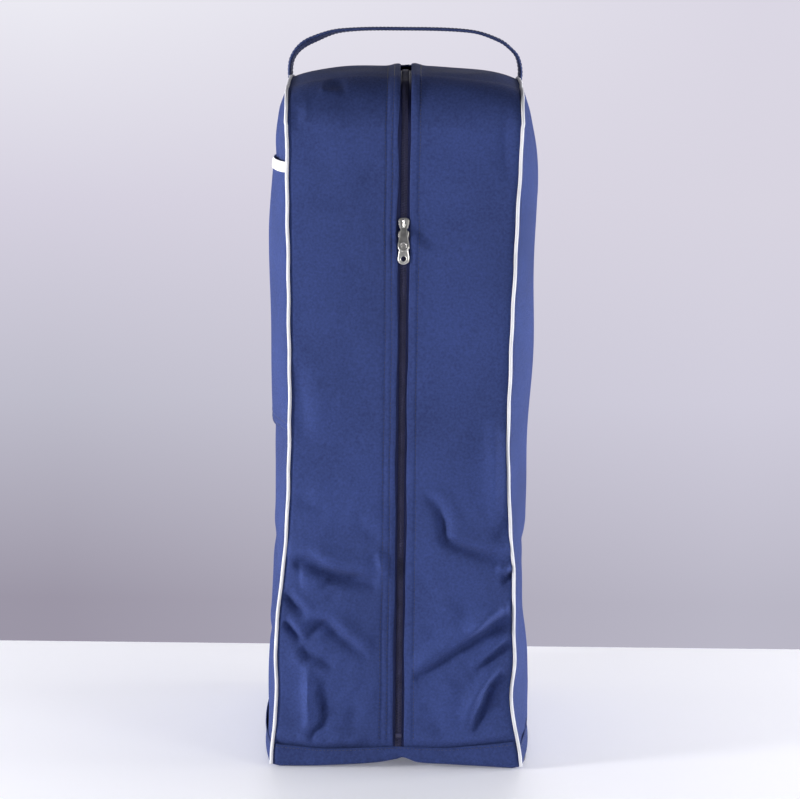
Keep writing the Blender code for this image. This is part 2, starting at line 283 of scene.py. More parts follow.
@dataclass
class Cloth:
    """One cut piece of cloth, laid out from a grid.

    Args:
        name: Piece name.
        columns: Faces across.
        rows: Faces along.
        place: Where the point (u, v) of the cut lies on the bag.
        size: Width and length of the cut in metres, for the weave.
        thickness: Thickness of the cloth.
        finishes: Outer and inner materials.
        outward: Reference point that the outer face turns away from.
        closed: Whether the two ends of the cut meet.
        angle: Largest angle in degrees that is shaded smooth.
        spread: Respaces the columns across the cut.
    """

    name: str
    columns: int
    rows: int
    place: Place
    size: tuple[float, float]
    finishes: Sequence[bpy.types.Material]
    thickness: float = 0.0012
    outward: Array = field(default_factory=lambda: BAG_HEART)
    closed: bool = False
    angle: float = 60.0
    spread: Callable[[Array], Array] | None = None

    def lay(self) -> bpy.types.Object:
        """Build the piece and return its object."""
        deselect()
        bpy.ops.mesh.primitive_grid_add(x_subdivisions=self.columns, y_subdivisions=self.rows, size=2.0)
        obj = bpy.context.object
        cut = (vertices(obj)[:, :2] + 1.0) / 2.0
        if self.spread is not None:
            cut[:, 0] = self.spread(cut[:, 0])
        u, v = cut[:, 0], cut[:, 1]
        self._map_weave(obj, cut)
        move_vertices(obj, self.place(u, v))
        if self.closed:
            self._close()
        self._turn_out(obj)
        finish_mesh(obj, self.name, self.finishes, self.angle)
        if self.thickness > 0.0:
            wall = obj.modifiers.new("cloth", "SOLIDIFY")
            wall.thickness = self.thickness
            wall.offset = -1.0
            wall.use_even_offset = False
            wall.material_offset = len(self.finishes) - 1
        return obj

    def _map_weave(self, obj: bpy.types.Object, cut: Array) -> None:
        """Write the cut's own metric coordinates as its UV map."""
        corner = np.empty(len(obj.data.loops), np.int32)
        obj.data.loops.foreach_get("vertex_index", corner)
        weave = obj.data.uv_layers.active or obj.data.uv_layers.new(name="weave")
        weave.name = "weave"
        weave.data.foreach_set("uv", (cut[corner] * np.array(self.size)).astype(np.float32).ravel())

    def _close(self) -> None:
        """Join the two ends of a sheet that wraps round, and any pole."""
        bpy.ops.object.mode_set(mode="EDIT")
        bpy.ops.mesh.select_all(action="SELECT")
        bpy.ops.mesh.remove_doubles(threshold=0.00002)
        bpy.ops.object.mode_set(mode="OBJECT")

    def _turn_out(self, obj: bpy.types.Object) -> None:
        """Turn the faces away from the heart of the bag."""
        count = len(obj.data.polygons)
        normals, centres = np.empty(count * 3, np.float32), np.empty(count * 3, np.float32)
        obj.data.polygons.foreach_get("normal", normals)
        obj.data.polygons.foreach_get("center", centres)
        away = centres.reshape(-1, 3) - self.outward
        if float((normals.reshape(-1, 3) * away).sum()) < 0.0:
            bpy.ops.object.mode_set(mode="EDIT")
            bpy.ops.mesh.select_all(action="SELECT")
            bpy.ops.mesh.flip_normals()
            bpy.ops.object.mode_set(mode="OBJECT")


def join_copies(name: str, pattern: bpy.types.Object, turns: Array, places: Array,
                finish: bpy.types.Material) -> bpy.types.Object:
    """Repeat one small shape many times in one mesh.

    Args:
        name: Piece name.
        pattern: The shape, modelled once at the origin. It is removed.
        turns: One 3 by 3 rotation for each copy.
        places: One place for each copy.
        finish: Material of the copies.

    Returns:
        The object that holds every copy.
    """
    shape = vertices(pattern)
    faces = [tuple(p.vertices) for p in pattern.data.polygons]
    bpy.data.objects.remove(pattern)
    every = np.einsum("nij,kj->nki", turns, shape) + places[:, None, :]
    count = len(shape)
    all_faces = [tuple(i + k * count for i in face) for k in range(len(places)) for face in faces]
    mesh = bpy.data.meshes.new(name)
    mesh.from_pydata([tuple(p) for p in every.reshape(-1, 3)], [], all_faces)
    obj = bpy.data.objects.new(name, mesh)
    bpy.context.scene.collection.objects.link(obj)
    finish_mesh(obj, name, [finish], 80.0)
    return obj


def frames_along(path: Array, normals: Array, pitch: float) -> tuple[Array, Array]:
    """Evenly spaced places and rotations along a path on a surface.

    Args:
        path: Points of the path.
        normals: Surface normal at each point.
        pitch: Spacing of the places.

    Returns:
        Rotations, whose columns are along, across and out of the surface, and places.
    """
    steps = np.linalg.norm(np.diff(path, axis=0), axis=1)
    reach = np.concatenate([[0.0], np.cumsum(steps)])
    stops = np.arange(pitch / 2, reach[-1], pitch)
    places = np.stack([np.interp(stops, reach, path[:, k]) for k in range(3)], 1)
    ahead = np.stack([np.interp(stops + pitch * 0.3, reach, path[:, k]) for k in range(3)], 1)
    behind = np.stack([np.interp(stops - pitch * 0.3, reach, path[:, k]) for k in range(3)], 1)
    out = np.stack([np.interp(stops, reach, normals[:, k]) for k in range(3)], 1)
    along = ahead - behind
    along /= np.linalg.norm(along, axis=1)[:, None] + 1e-12
    out -= (out * along).sum(1)[:, None] * along
    out /= np.linalg.norm(out, axis=1)[:, None] + 1e-12
    return np.stack([along, np.cross(out, along), out], 2), places


def sew(name: str, runs: Sequence[tuple[Array, Array]], finish: bpy.types.Material, pitch: float = 0.0032,
        length: float = 0.0024, width: float = 0.00055) -> bpy.types.Object:
    """Lay rows of stitches.

    Args:
        name: Piece name.
        runs: Path and surface normals of each row.
        finish: Thread material.
        pitch: Spacing of the stitches.
        length: Length of one stitch.
        width: Thickness of the thread.

    Returns:
        One object with every stitch.
    """
    deselect()
    bpy.ops.mesh.primitive_uv_sphere_add(segments=6, ring_count=4, radius=1.0,
                                         rotation=(0.0, math.pi / 2, 0.0))
    stitch = settle(bpy.context.object)
    move_vertices(stitch, vertices(stitch) * np.array([length / 2, width / 2, width * 0.42]))
    found = [frames_along(path, normals, pitch) for path, normals in runs]
    turns, places = np.concatenate([f[0] for f in found]), np.concatenate([f[1] for f in found])
    places = places + turns[:, :, 2] * width * 0.12
    return join_copies(name, stitch, turns, places, finish)


def cord_mesh(name: str, path: Array, radius: float, finish: bpy.types.Material,
              sides: int = 4) -> bpy.types.Object:
    """A round cord along a path, made a mesh.

    Args:
        name: Piece name.
        path: Points of the centreline.
        radius: Radius of the cord.
        finish: Material.
        sides: Bevel resolution of the curve.

    Returns:
        The mesh object.
    """
    curve = bpy.data.curves.new(name, "CURVE")
    curve.dimensions = "3D"
    curve.bevel_depth = radius
    curve.bevel_resolution = sides
    curve.use_fill_caps = True
    line = curve.splines.new("POLY")
    line.points.add(len(path) - 1)
    line.points.foreach_set("co", np.column_stack([path, np.ones(len(path))]).ravel())
    obj = bpy.data.objects.new(name, curve)
    bpy.context.scene.collection.objects.link(obj)
    pick(obj)
    bpy.ops.object.convert(target="MESH")
    obj = bpy.context.object
    bpy.ops.object.mode_set(mode="EDIT")
    bpy.ops.mesh.select_all(action="SELECT")
    bpy.ops.mesh.remove_doubles(threshold=0.00001)
    bpy.ops.object.mode_set(mode="OBJECT")
    finish_mesh(obj, name, [finish], 50.0)
    return obj


# ---------------------------------------------------------------------------------------------
# Finishes
# ---------------------------------------------------------------------------------------------


class Nodes:
    """Small helper that adds and joins shader nodes."""

    def __init__(self, name: str) -> None:
        """Start a material with an empty Principled shader."""
        self.material = bpy.data.materials.new(name)
        self.material.use_nodes = True
        self.tree = self.material.node_tree
        self.shader = self.tree.nodes["Principled BSDF"]

    def add(self, kind: str, **settings: object) -> bpy.types.Node:
        """Add a node and set its properties, or its inputs where the name starts with in_."""
        node = self.tree.nodes.new("ShaderNode" + kind)
        for key, value in settings.items():
            if key.startswith("in_"):
                name = key[3:].replace("_", " ")
                socket = node.inputs[int(name)] if name.isdigit() else node.inputs[name]
                socket.default_value = value
            else:
                setattr(node, key, value)
        return node

    def join(self, source: bpy.types.NodeSocket, node: bpy.types.Node, socket: str | int) -> None:
        """Link an output to a node's input."""
        self.tree.links.new(source, node.inputs[socket])

    def math(self, operation: str, a: object, b: object = 0.0, clamp: bool = False) -> bpy.types.NodeSocket:
        """A Math node on sockets or numbers, and its result."""
        node = self.add("Math", operation=operation, use_clamp=clamp)
        for i, value in enumerate((a, b)):
            if isinstance(value, bpy.types.NodeSocket):
                self.join(value, node, i)
            else:
                node.inputs[i].default_value = value
        return node.outputs[0]

    def noise(self, vector: bpy.types.NodeSocket, scale: float, detail: float = 2.0) -> bpy.types.NodeSocket:
        """A noise value at a scale."""
        node = self.add("TexNoise", in_Scale=scale, in_Detail=detail)
        self.join(vector, node, "Vector")
        return node.outputs["Fac"]

    def ramp(self, value: bpy.types.NodeSocket, stops: Sequence[tuple[float, tuple[float, float, float]]]
             ) -> bpy.types.NodeSocket:
        """A colour ramp over a value."""
        node = self.add("ValToRGB")
        while len(node.color_ramp.elements) < len(stops):
            node.color_ramp.elements.new(0.5)
        for element, (position, colour) in zip(node.color_ramp.elements, stops):
            element.position = position
            element.color = (*colour, 1.0)
        self.join(value, node, 0)
        return node.outputs["Color"]

    def mix(self, share: object, a: object, b: object, blend: str = "MIX") -> bpy.types.NodeSocket:
        """Mix two colours."""
        node = self.add("Mix", data_type="RGBA", blend_type=blend)
        for index, value in ((0, share), (6, a), (7, b)):
            if isinstance(value, bpy.types.NodeSocket):
                self.join(value, node, index)
            elif index == 0:
                node.inputs[0].default_value = value
            else:
                node.inputs[index].default_value = (*value, 1.0)
        return node.outputs[2]

    def emboss(self, height: bpy.types.NodeSocket, distance: float, strength: float = 1.0,
               under: bpy.types.NodeSocket | None = None) -> bpy.types.NodeSocket:
        """A bump from a height, on top of another bump if one is given."""
        node = self.add("Bump", in_Strength=strength, in_Distance=distance)
        self.join(height, node, "Height")
        if under is not None:
            self.join(under, node, "Normal")
        return node.outputs["Normal"]

    def dress(self, colour: object, roughness: object, normal: bpy.types.NodeSocket | None = None,
              **constants: object) -> bpy.types.Material:
        """Wire the shader and return the material.

        Args:
            colour: Base colour, as a socket or three numbers.
            roughness: Roughness, as a socket or a number.
            normal: Bumped normal.
            constants: Other shader inputs, with underscores for spaces.

        Returns:
            The finished material.
        """
        for name, value in (("Base Color", colour), ("Roughness", roughness)):
            if isinstance(value, bpy.types.NodeSocket):
                self.join(value, self.shader, name)
            else:
                self.shader.inputs[name].default_value = (*value, 1.0) if name == "Base Color" else value
        if normal is not None:
            self.join(normal, self.shader, "Normal")
        for name, value in constants.items():
            self.shader.inputs[name.replace("_", " ")].default_value = value
        return self.material


def scaled(colour: Sequence[float], by: float) -> tuple[float, float, float]:
    """A colour made lighter or darker."""
    return tuple(min(1.0, c * by) for c in colour)


@dataclass(frozen=True)
class WovenFinish:
    """Plain woven cloth with its threads, slight cloudiness, and ridges lightened by rub wear and a painted
    highlight.
    """

    name: str
    colour: tuple[float, float, float]
    thread: float = 0.00055
    roughness: float = 0.80
    relief: float = 0.00016
    cloud: float = 0.24
    sheen: float = 0.03
    # Strength of the lightening on raised cloth: rub wear and a painted highlight.
    worn: float = 0.0

    def build(self) -> bpy.types.Material:
        """Make the material."""
        n = Nodes(self.name)
        uv = n.add("UVMap", uv_map="weave").outputs["UV"]
        where = n.add("TexCoord").outputs["Object"]
        split = n.add("SeparateXYZ")
        n.join(uv, split, 0)
        across = n.math("MULTIPLY", split.outputs["X"], math.pi / self.thread)
        along = n.math("MULTIPLY", split.outputs["Y"], math.pi / self.thread)
        warp = n.math("ABSOLUTE", n.math("SINE", across))
        weft = n.math("ABSOLUTE", n.math("SINE", along))
        checker = n.add("TexChecker", in_Scale=1.0 / self.thread)
        n.join(uv, checker, "Vector")
        over = checker.outputs["Fac"]
        under = n.math("SUBTRACT", 1.0, over)
        height = n.math("ADD", n.math("MULTIPLY", warp, over), n.math("MULTIPLY", weft, under))
        fibre = n.noise(where, 2600.0, 2.0)
        height = n.math("ADD", height, n.math("MULTIPLY", fibre, 0.55))
        cloudy = n.noise(where, 16.0, 4.0)
        slub = n.noise(where, 480.0, 3.0)
        tone = n.math("ADD", n.math("MULTIPLY", cloudy, 0.40), n.math("MULTIPLY", slub, 0.60))
        colour = n.ramp(tone, ((0.33, scaled(self.colour, 1.0 - self.cloud)),
                               (0.67, scaled(self.colour, 1.0 + self.cloud))))
        threads = n.math("MULTIPLY_ADD", height, 0.28)
        threads.node.inputs[2].default_value = 0.76
        shade = n.add("CombineColor")
        for channel in range(3):
            n.join(threads, shade, channel)
        colour = n.mix(1.0, colour, shade.outputs[0], "MULTIPLY")
        # Raised cloth is mixed towards a paler navy: partly rub wear, partly a painted highlight on the fold
        # crests.
        if self.worn:
            ridge = n.add("Attribute", attribute_name="ridge").outputs["Fac"]
            rub_and_highlight = n.math("MULTIPLY", ridge, n.math("ADD", slub, 0.25), clamp=True)
            colour = n.mix(n.math("MULTIPLY", rub_and_highlight, self.worn), colour, scaled(self.colour, 2.1))
        rough = n.math("ADD", self.roughness - 0.08, n.math("MULTIPLY", cloudy, 0.16))
        crumple = n.emboss(n.noise(where, 55.0, 5.0), 0.0011, 0.35)
        normal = n.emboss(height, self.relief, 0.8, crumple)
        return n.dress(colour, rough, normal, Sheen_Weight=self.sheen, Sheen_Roughness=0.35,
                       Specular_IOR_Level=0.11)


@dataclass(frozen=True)
class RibbedFinish:
    """Webbing or zip tape: ribs across the width and a slanting twill along it."""

    name: str
    colour: tuple[float, float, float]
    rib: float = 0.0016
    relief: float = 0.00035
    roughness: float = 0.58
    twill: float = 1.0

    def build(self) -> bpy.types.Material:
        """Make the material."""
        n = Nodes(self.name)
        uv = n.add("UVMap", uv_map="weave").outputs["UV"]
        where = n.add("TexCoord").outputs["Object"]
        split = n.add("SeparateXYZ")
        n.join(uv, split, 0)
        zigzag = n.math("PINGPONG", split.outputs["X"], self.rib * 2.0)
        slant = n.math("ADD", split.outputs["Y"], n.math("MULTIPLY", zigzag, self.twill))
        rows = n.math("ABSOLUTE", n.math("SINE", n.math("MULTIPLY", slant, math.pi / self.rib)))
        ends = n.math("ABSOLUTE", n.math("SINE",
                                         n.math("MULTIPLY", split.outputs["X"], math.pi / (self.rib * 0.62))))
        height = n.math("ADD", n.math("MULTIPLY", rows, 0.7), n.math("MULTIPLY", ends, 0.3))
        fibre = n.noise(where, 1800.0, 2.0)
        height = n.math("ADD", height, n.math("MULTIPLY", fibre, 0.3))
        cloudy = n.noise(where, 60.0, 3.0)
        # Tone is half painted shade, darker in the hollows between ribs, and half random cloudiness.
        tone = n.math("ADD", n.math("MULTIPLY", height, 0.5), n.math("MULTIPLY", cloudy, 0.5))
        colour = n.ramp(tone, ((0.2, scaled(self.colour, 0.6)), (0.8, scaled(self.colour, 1.3))))
        return n.dress(colour, self.roughness, n.emboss(height, self.relief, 0.8), Sheen_Weight=0.03,
                       Specular_IOR_Level=0.25)


@dataclass(frozen=True)
class CordFinish:
    """Cloth-covered piping: fine slanting threads and faint handling marks."""

    name: str
    colour: tuple[float, float, float]

    def build(self) -> bpy.types.Material:
        """Make the material."""
        n = Nodes(self.name)
        where = n.add("TexCoord").outputs["Object"]
        turned = n.add("Mapping", in_Rotation=(0.6, 0.5, 0.4), in_Scale=(1.0, 1.0, 1.0))
        n.join(where, turned, "Vector")
        threads = n.add("TexWave", in_Scale=520.0, in_Distortion=0.6, in_Detail=1.0)
        n.join(turned.outputs[0], threads, "Vector")
        grime = n.noise(where, 38.0, 5.0)
        fuzz = n.noise(where, 1500.0, 2.0)
        colour = n.ramp(grime, ((0.30, scaled(self.colour, 0.86)), (0.55, self.colour)))
        height = n.math("ADD", threads.outputs["Fac"], n.math("MULTIPLY", fuzz, 0.6))
        return n.dress(colour, 0.6, n.emboss(height, 0.0002, 0.7), Sheen_Weight=0.15, Specular_IOR_Level=0.3)


@dataclass(frozen=True)
class ThreadFinish:
    """Twisted sewing thread."""

    name: str
    colour: tuple[float, float, float]

    def build(self) -> bpy.types.Material:
        """Make the material."""
        n = Nodes(self.name)
        where = n.add("TexCoord").outputs["Object"]
        twist = n.add("TexWave", bands_direction="DIAGONAL", in_Scale=900.0, in_Distortion=0.3)
        n.join(where, twist, "Vector")
        tone = n.ramp(n.noise(where, 700.0, 2.0),
                      ((0.3, scaled(self.colour, 0.75)), (0.7, scaled(self.colour, 1.25))))
        return n.dress(tone, 0.45, n.emboss(twist.outputs["Fac"], 0.00012, 0.8), Sheen_Weight=0.1)


@dataclass(frozen=True)
class NickelFinish:
    """Nickel plate with faint brushing, dull handling film and small scratches."""

    name: str = "nickel_plate"
    colour: tuple[float, float, float] = (0.80, 0.78, 0.74)

    def build(self) -> bpy.types.Material:
        """Make the material."""
        n = Nodes(self.name)
        where = n.add("TexCoord").outputs["Object"]
        grain = n.add("Mapping", in_Scale=(1.0, 1.0, 0.08))
        n.join(where, grain, "Vector")
        brushed = n.noise(grain.outputs[0], 5200.0, 2.0)
        film = n.noise(where, 240.0, 4.0)
        colour = n.ramp(film, ((0.3, scaled(self.colour, 0.78)), (0.7, self.colour)))
        rough = n.math("ADD", 0.20, n.math("MULTIPLY", film, 0.25))
        return n.dress(colour, rough, n.emboss(brushed, 0.00003, 0.5), Metallic=1.0)


@dataclass(frozen=True)
class NylonFinish:
    """Nylon coil or plastic board: smooth, with a fine moulded texture."""

    name: str
    colour: tuple[float, float, float]
    roughness: float = 0.36
    grain: float = 900.0
    relief: float = 0.00005

    def build(self) -> bpy.types.Material:
        """Make the material."""
        n = Nodes(self.name)
        where = n.add("TexCoord").outputs["Object"]
        dust = n.noise(where, 85.0, 4.0)
        pebble = n.noise(where, self.grain, 2.0)
        colour = n.ramp(dust, ((0.35, self.colour), (0.8, scaled(self.colour, 1.7))))
        rough = n.math("ADD", self.roughness, n.math("MULTIPLY", dust, 0.2))
        return n.dress(colour, rough, n.emboss(pebble, self.relief, 0.6), Specular_IOR_Level=0.5)


@dataclass
class Wardrobe:
    """Every finish of the bag, built once."""

    navy: tuple[float, float, float] = (0.0375, 0.0585, 0.190)

    def __post_init__(self) -> None:
        """Build the materials."""
        # The canvas lightens on raised cloth, as rub wear and a painted highlight.
        self.canvas = WovenFinish("navy_canvas", self.navy, worn=0.20).build()
        self.lining = WovenFinish("grey_lining", (0.10, 0.105, 0.125), thread=0.0004, relief=0.00008,
                                  cloud=0.08).build()
        self.piping = CordFinish("white_piping_cloth", (0.80, 0.80, 0.84)).build()
        self.binding = RibbedFinish("white_binding_tape", (0.80, 0.80, 0.84), rib=0.0009,
                                    relief=0.00012).build()
        self.seam_tape = CordFinish("dark_seam_tape", (0.020, 0.023, 0.045)).build()
        self.zip_tape = RibbedFinish("black_zip_tape", (0.015, 0.021, 0.088), rib=0.0010,
                                     relief=0.0002).build()
        self.coil = NylonFinish("black_nylon_coil", (0.030, 0.030, 0.078), 0.34).build()
        self.nickel = NickelFinish().build()
        self.webbing = RibbedFinish("navy_webbing", (0.036, 0.055, 0.170), rib=0.0017).build()
        # The thread is far darker than the canvas: a dark navy thread, darkened further as painted shade of
        # the stitch pits.
        self.thread = ThreadFinish("navy_thread_and_pit_shade", (0.012, 0.018, 0.058)).build()
        self.white_thread = ThreadFinish("white_thread", (0.62, 0.62, 0.66)).build()
        self.board = NylonFinish("stiffener_board", (0.085, 0.088, 0.095), 0.5, 420.0, 0.0002).build()


# ---------------------------------------------------------------------------------------------
# Shape of the bag
# ---------------------------------------------------------------------------------------------


@dataclass
class BagShape:
    """Outline of the bag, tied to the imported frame."""

    corner: float = 0.040
    crown: float = 0.006
    droop: float = 0.0078
    left_edge: Curve = Curve(((0.0, 0.1133), (0.025, 0.1120), (0.062, 0.1087), (0.116, 0.1094),
                              (0.152, 0.1067),
                              (0.189, 0.1022), (0.225, 0.1002), (0.296, 0.0982), (0.367, 0.0987),
                              (0.472, 0.1005),
                              (0.606, 0.1027)))
    right_edge: Curve = Curve(((0.0, 0.1102), (0.025, 0.1065), (0.062, 0.1001), (0.098, 0.1025),
                               (0.134, 0.1008),
                               (0.178, 0.1005), (0.225, 0.0962), (0.296, 0.0935), (0.367, 0.0945),
                               (0.472, 0.0977),
                               (0.541, 0.1003), (0.606, 0.1018)))
    rear_edge: Curve = Curve(((0.0, 0.1115), (0.06, 0.1060), (0.21, 0.0992), (0.30, 0.0968), (0.45, 0.0985),
                              (0.62, 0.1030)))
    back: Curve = Curve(((0.0, 0.1545), (0.06, 0.1515), (0.16, 0.1295), (0.28, 0.1080), (0.45, 0.1000),
                         (0.62, 0.0960)))
    bulge: Curve = Curve(((0.0, 0.0085), (0.045, 0.0132), (0.075, 0.0136), (0.12, 0.0116), (0.17, 0.0126),
                          (0.25, 0.0178), (0.40, 0.0212), (0.50, 0.0204), (0.545, 0.0172), (0.575, 0.0108),
                          (0.590, 0.0060), (0.603, 0.0010)))

    def __post_init__(self) -> None:
        """Read the driving places from the frame."""
        low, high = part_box("front_panel_left")
        self.front_y = (low.y + high.y) / 2.0
        self.turn_z = round(high.z, 4)
        self.top_z = self.turn_z + self.corner
        self.hem_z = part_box("base_panel")[1].z
        self.rear_top_y = float(self.back(self.top_z))
        self.flat_run = self.rear_top_y - self.front_y - 2.0 * self.corner

    def edge(self, side: Side, z: Array) -> Array:
        """Distance of the front piped edge from the middle."""
        return (self.left_edge if side is Side.LEFT else self.right_edge)(z)

    def top_rise(self, y: Array) -> Array:
        """Rise of the top above its two ends."""
        t = np.clip((2 * y - 2 * self.front_y - 2 * self.corner) / self.flat_run - 1.0, -1.0, 1.0)
        return self.crown * (1.0 - t * t)

    def sag(self, x: Array, outer: Array) -> Array:
        """How far the top falls from its middle towards the piped edge at a half width."""
        share = np.clip(np.abs(x) / outer, 0.0, 1.0)
        return self.droop * (0.75 * share**7 + 0.25 * share**2)

    def strip(self, s: Array, start_z: float) -> tuple[Array, Array, Array, Array]:
        """Outline of the front and top, by distance along it.

        Args:
            s: Distance along the outline from its start.
            start_z: Height at which the front starts.

        Returns:
            The y and z of each point, and the y and z of its outward normal.
        """
        straight = self.turn_z - start_z
        arc = self.corner * math.pi / 2.0
        angle = np.clip((s - straight) / self.corner, 0.0, math.pi / 2.0)
        beyond = np.maximum(s - straight - arc, 0.0)
        y = self.front_y + self.corner * (1.0 - np.cos(angle)) + beyond
        z = np.minimum(start_z + s, self.turn_z) + self.corner * np.sin(angle)
        z = z + np.where(beyond > 0.0, self.top_rise(y), 0.0)
        return y, z, -np.cos(angle), np.sin(angle)

    def side_rows(self, v: Array) -> Array:
        """Heights for shares v of a side panel, closer together round the top corners."""
        share = 0.90
        low = self.hem_z - 0.006
        straight = low + (self.turn_z - low) * v / share
        angle = np.clip((v - share) / (1.0 - share), 0.0, 1.0) * math.pi / 2.0
        return np.where(v < share, straight,
                        self.turn_z + (self.corner - self.droop - 0.0012) * np.sin(angle))

    def side_point(self, side: Side, u: Array, z: Array, swell_by: Array | float = 0.0,
                   out: Array | float = 0.0) -> Array:
        """Point on a side panel.

        Args:
            side: Which side.
            u: Share of the depth from front to back.
            z: Height.
            swell_by: Added to the bulge at mid depth.
            out: Distance moved straight out.

        Returns:
            Points, one row each.
        """
        wide, tall = self.corner - 0.0012, self.corner - self.droop - 0.0012
        rise = np.clip((z - self.turn_z) / tall, 0.0, 1.0)
        inset = 0.0012 + wide * (1.0 - np.sqrt(1.0 - rise**2))
        front, back = self.front_y + inset, self.back(z) - inset
        y = front + (back - front) * u
        near = 1.0 - smoothstep(u * 2.5)
        half = self.rear_edge(z) + (self.edge(side, z) - self.rear_edge(z)) * near
        swell = 1.0 - np.abs(2.0 * u - 1.0) ** 2.4
        x = half + (self.bulge(z) + swell_by) * swell + out
        tuck = 0.0011 * bump(np.minimum(u, 1.0 - u) * (back - front), 0.0030)
        lift = self.top_rise(y) * rise**2
        return np.stack([side.value * (x - tuck), y, z + lift], 1)


# ---------------------------------------------------------------------------------------------
# Sub-assemblies
# ---------------------------------------------------------------------------------------------


@dataclass
class Swing:
    """Where cloth on a front flap would follow it: free in the middle, held at the piping and at both zip
    ends.
    """

    shape: BagShape
    curl: float = 0.062
    ramp: float = 0.190
    low_end: float = 0.030

    def follow(self, piece: bpy.types.Object, side: Side) -> bpy.types.Object:
        """Bake a piece's place into its mesh; the shares by which it would bend with its flap are worked out
        but not used.

        Args:
            piece: The finished piece.
            side: The flap's side.

        Returns:
            The piece.
        """
        edge = float(self.shape.edge(side, np.array([0.3]))[0]) - 0.001
        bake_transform(piece)
        at = vertices(piece)
        across = smoothstep((self.shape.edge(side, at[:, 2]) - 0.001 - np.abs(at[:, 0])) / self.curl)
        top = self.shape.turn_z
        held = smoothstep((at[:, 2] - self.low_end) / self.ramp) * smoothstep((top - at[:, 2]) / self.ramp)
        held = held * (at[:, 1] < self.shape.front_y + 0.012)
        return piece


@dataclass
class FrontStrip:
    """One half of the front and top: a single cut of canvas from the hem over the top corner."""

    shape: BagShape
    wardrobe: Wardrobe
    swing: Swing
    side: Side
    folds: Sequence[Fold]
    start_z: float = 0.010
    slit: float = 0.0058
    fold_r: float = 0.0010
    hem_in: float = 0.0085
    seam_gap: float = 0.0012
    crispness: float = 2.4

    def __post_init__(self) -> None:
        """Work out the length of the cut and its waves."""
        s = self.shape
        self.length = (s.turn_z - self.start_z) + s.corner * math.pi / 2.0 + s.flat_run + 0.003
        self.insets = (0.0042, 0.0098) if self.side is Side.LEFT else (0.0066,)
        seed = 11 if self.side is Side.LEFT else 23
        self.waves = Ripple(seed, 0.085, 0.0011)
        self.small = Ripple(seed + 1, 0.030, 0.00035)
        self.crumple = Ripple(seed + 2, 0.021, 0.00055)

    def slit_edge(self, z: Array) -> Array:
        """Distance of the folded edge from the middle, which wanders a little."""
        phase = self.side.value
        wander = 0.0004 * np.sin(z * 31.0 + phase) + 0.0003 * np.sin(z * 83.0 + 2.0 * phase)
        near_slider = bump(z - 0.482, 0.022) + bump(z - 0.562, 0.020)
        return self.slit + wander + 0.0012 * near_slider

    def relief(self, x: Array, z: Array) -> Array:
        """Height of the cloth above the flat front."""
        inner = self.slit
        outer = self.shape.edge(self.side, z)
        u = np.clip((np.abs(x) - inner) / (outer - inner), 0.0, 1.0)
        puff = np.sin(math.pi * u) ** 0.8
        slack = 0.0026 + 0.0016 * smoothstep((z - 0.02) / 0.05) * smoothstep((0.30 - z) / 0.12)
        height = slack * puff
        height = height + (self.waves(x, z) + self.small(x, z)) * puff
        low = smoothstep((0.235 - z) / 0.10)
        height = height + self.crumple(x, z) * low * puff * 1.4
        for fold in self.folds:
            height = height + self.crispness * fold(x, z) * smoothstep(u * 7.0 + 0.25)
        height = height - 0.0014 * bump((1.0 - u) * (outer - inner), 0.0032)
        height = height + 0.0007 * bump(u * (outer - inner) - 0.002, 0.005)
        for inset in self.insets:
            height = height - 0.0005 * bump(u * (outer - inner) - inset, 0.0011)
        above = smoothstep((z - HEM_TOP(x) + 0.0010) / 0.0085)
        return (height + 0.0022 * bump(z - HEM_TOP(x) - 0.009, 0.006) * puff) * above - 0.0016 * (1.0 - above)

    def surface(self, x_share: Array, v: Array) -> Array:
        """Points of the cloth.

        Args:
            x_share: 0 at the folded edge by the zip, 1 at the piping; below 0 is the turned-in hem.
            v: Share of the length from the hem.

        Returns:
            Points, one row each.
        """
        s = self.shape
        y, z, ny, nz = s.strip(v * self.length, self.start_z)
        edge_z = np.minimum(z, TOP_EDGE_Z)
        inner = self.slit_edge(z)
        outer = s.edge(self.side, edge_z) - self.seam_gap
        on_top = smoothstep((y - s.front_y - 0.010) / 0.03)
        rear = smoothstep((s.rear_top_y - s.corner - y) / 0.022)
        x = inner + (outer - inner) * np.clip(x_share, 0.0, 1.0)
        height = self.relief(self.side.value * x, z) * (1.0 - on_top)
        arch = np.clip(1.0 - (x / 0.103) ** 2, 0.0, 1.0)
        height = height + on_top * (0.0030 * arch - 0.0010 + self.waves(x, y + 0.7) * 1.1 * arch) * rear
        height = height + smoothstep((z - 0.56) / 0.04) * 0.0022 * bump(x - inner - 0.002, 0.006) * rear
        height = height - 0.0012 * (1.0 - rear)
        z = z - s.sag(x, outer) * nz
        return np.stack([self.side.value * x, y + ny * height, z + nz * height], 1)

    def place(self, u: Array, v: Array) -> Array:
        """Lay the cut, with its zip edge turned in round a small radius."""
        turned = 0.10
        share = np.clip((u - turned) / (1.0 - turned), 0.0, 1.0)
        points = self.surface(share, v)
        _, _, ny, nz = self.shape.strip(v * self.length, self.start_z)
        back = np.clip((turned - u) / turned, 0.0, 1.0)
        angle = np.clip(back / 0.6, 0.0, 1.0) * math.pi
        under = np.maximum(back - 0.6, 0.0) / 0.4 * self.hem_in
        shift = -self.fold_r * np.sin(angle) + under
        sink = self.fold_r * (1.0 - np.cos(angle))
        points[:, 0] += self.side.value * shift
        points[:, 1] -= ny * sink
        points[:, 2] -= nz * sink
        return points

    def row(self, inset: float, v0: float, v1: float) -> tuple[Array, Array]:
        """Path and normals of a stitch row at a distance from the folded edge."""
        v = np.linspace(v0, v1, 520)
        share = inset / (self.shape.edge(self.side, 0.3) - self.seam_gap - self.slit) + 0.0 * v
        _, _, ny, nz = self.shape.strip(v * self.length, self.start_z)
        return self.surface(share, v), np.stack([np.zeros_like(v), ny, nz], 1)

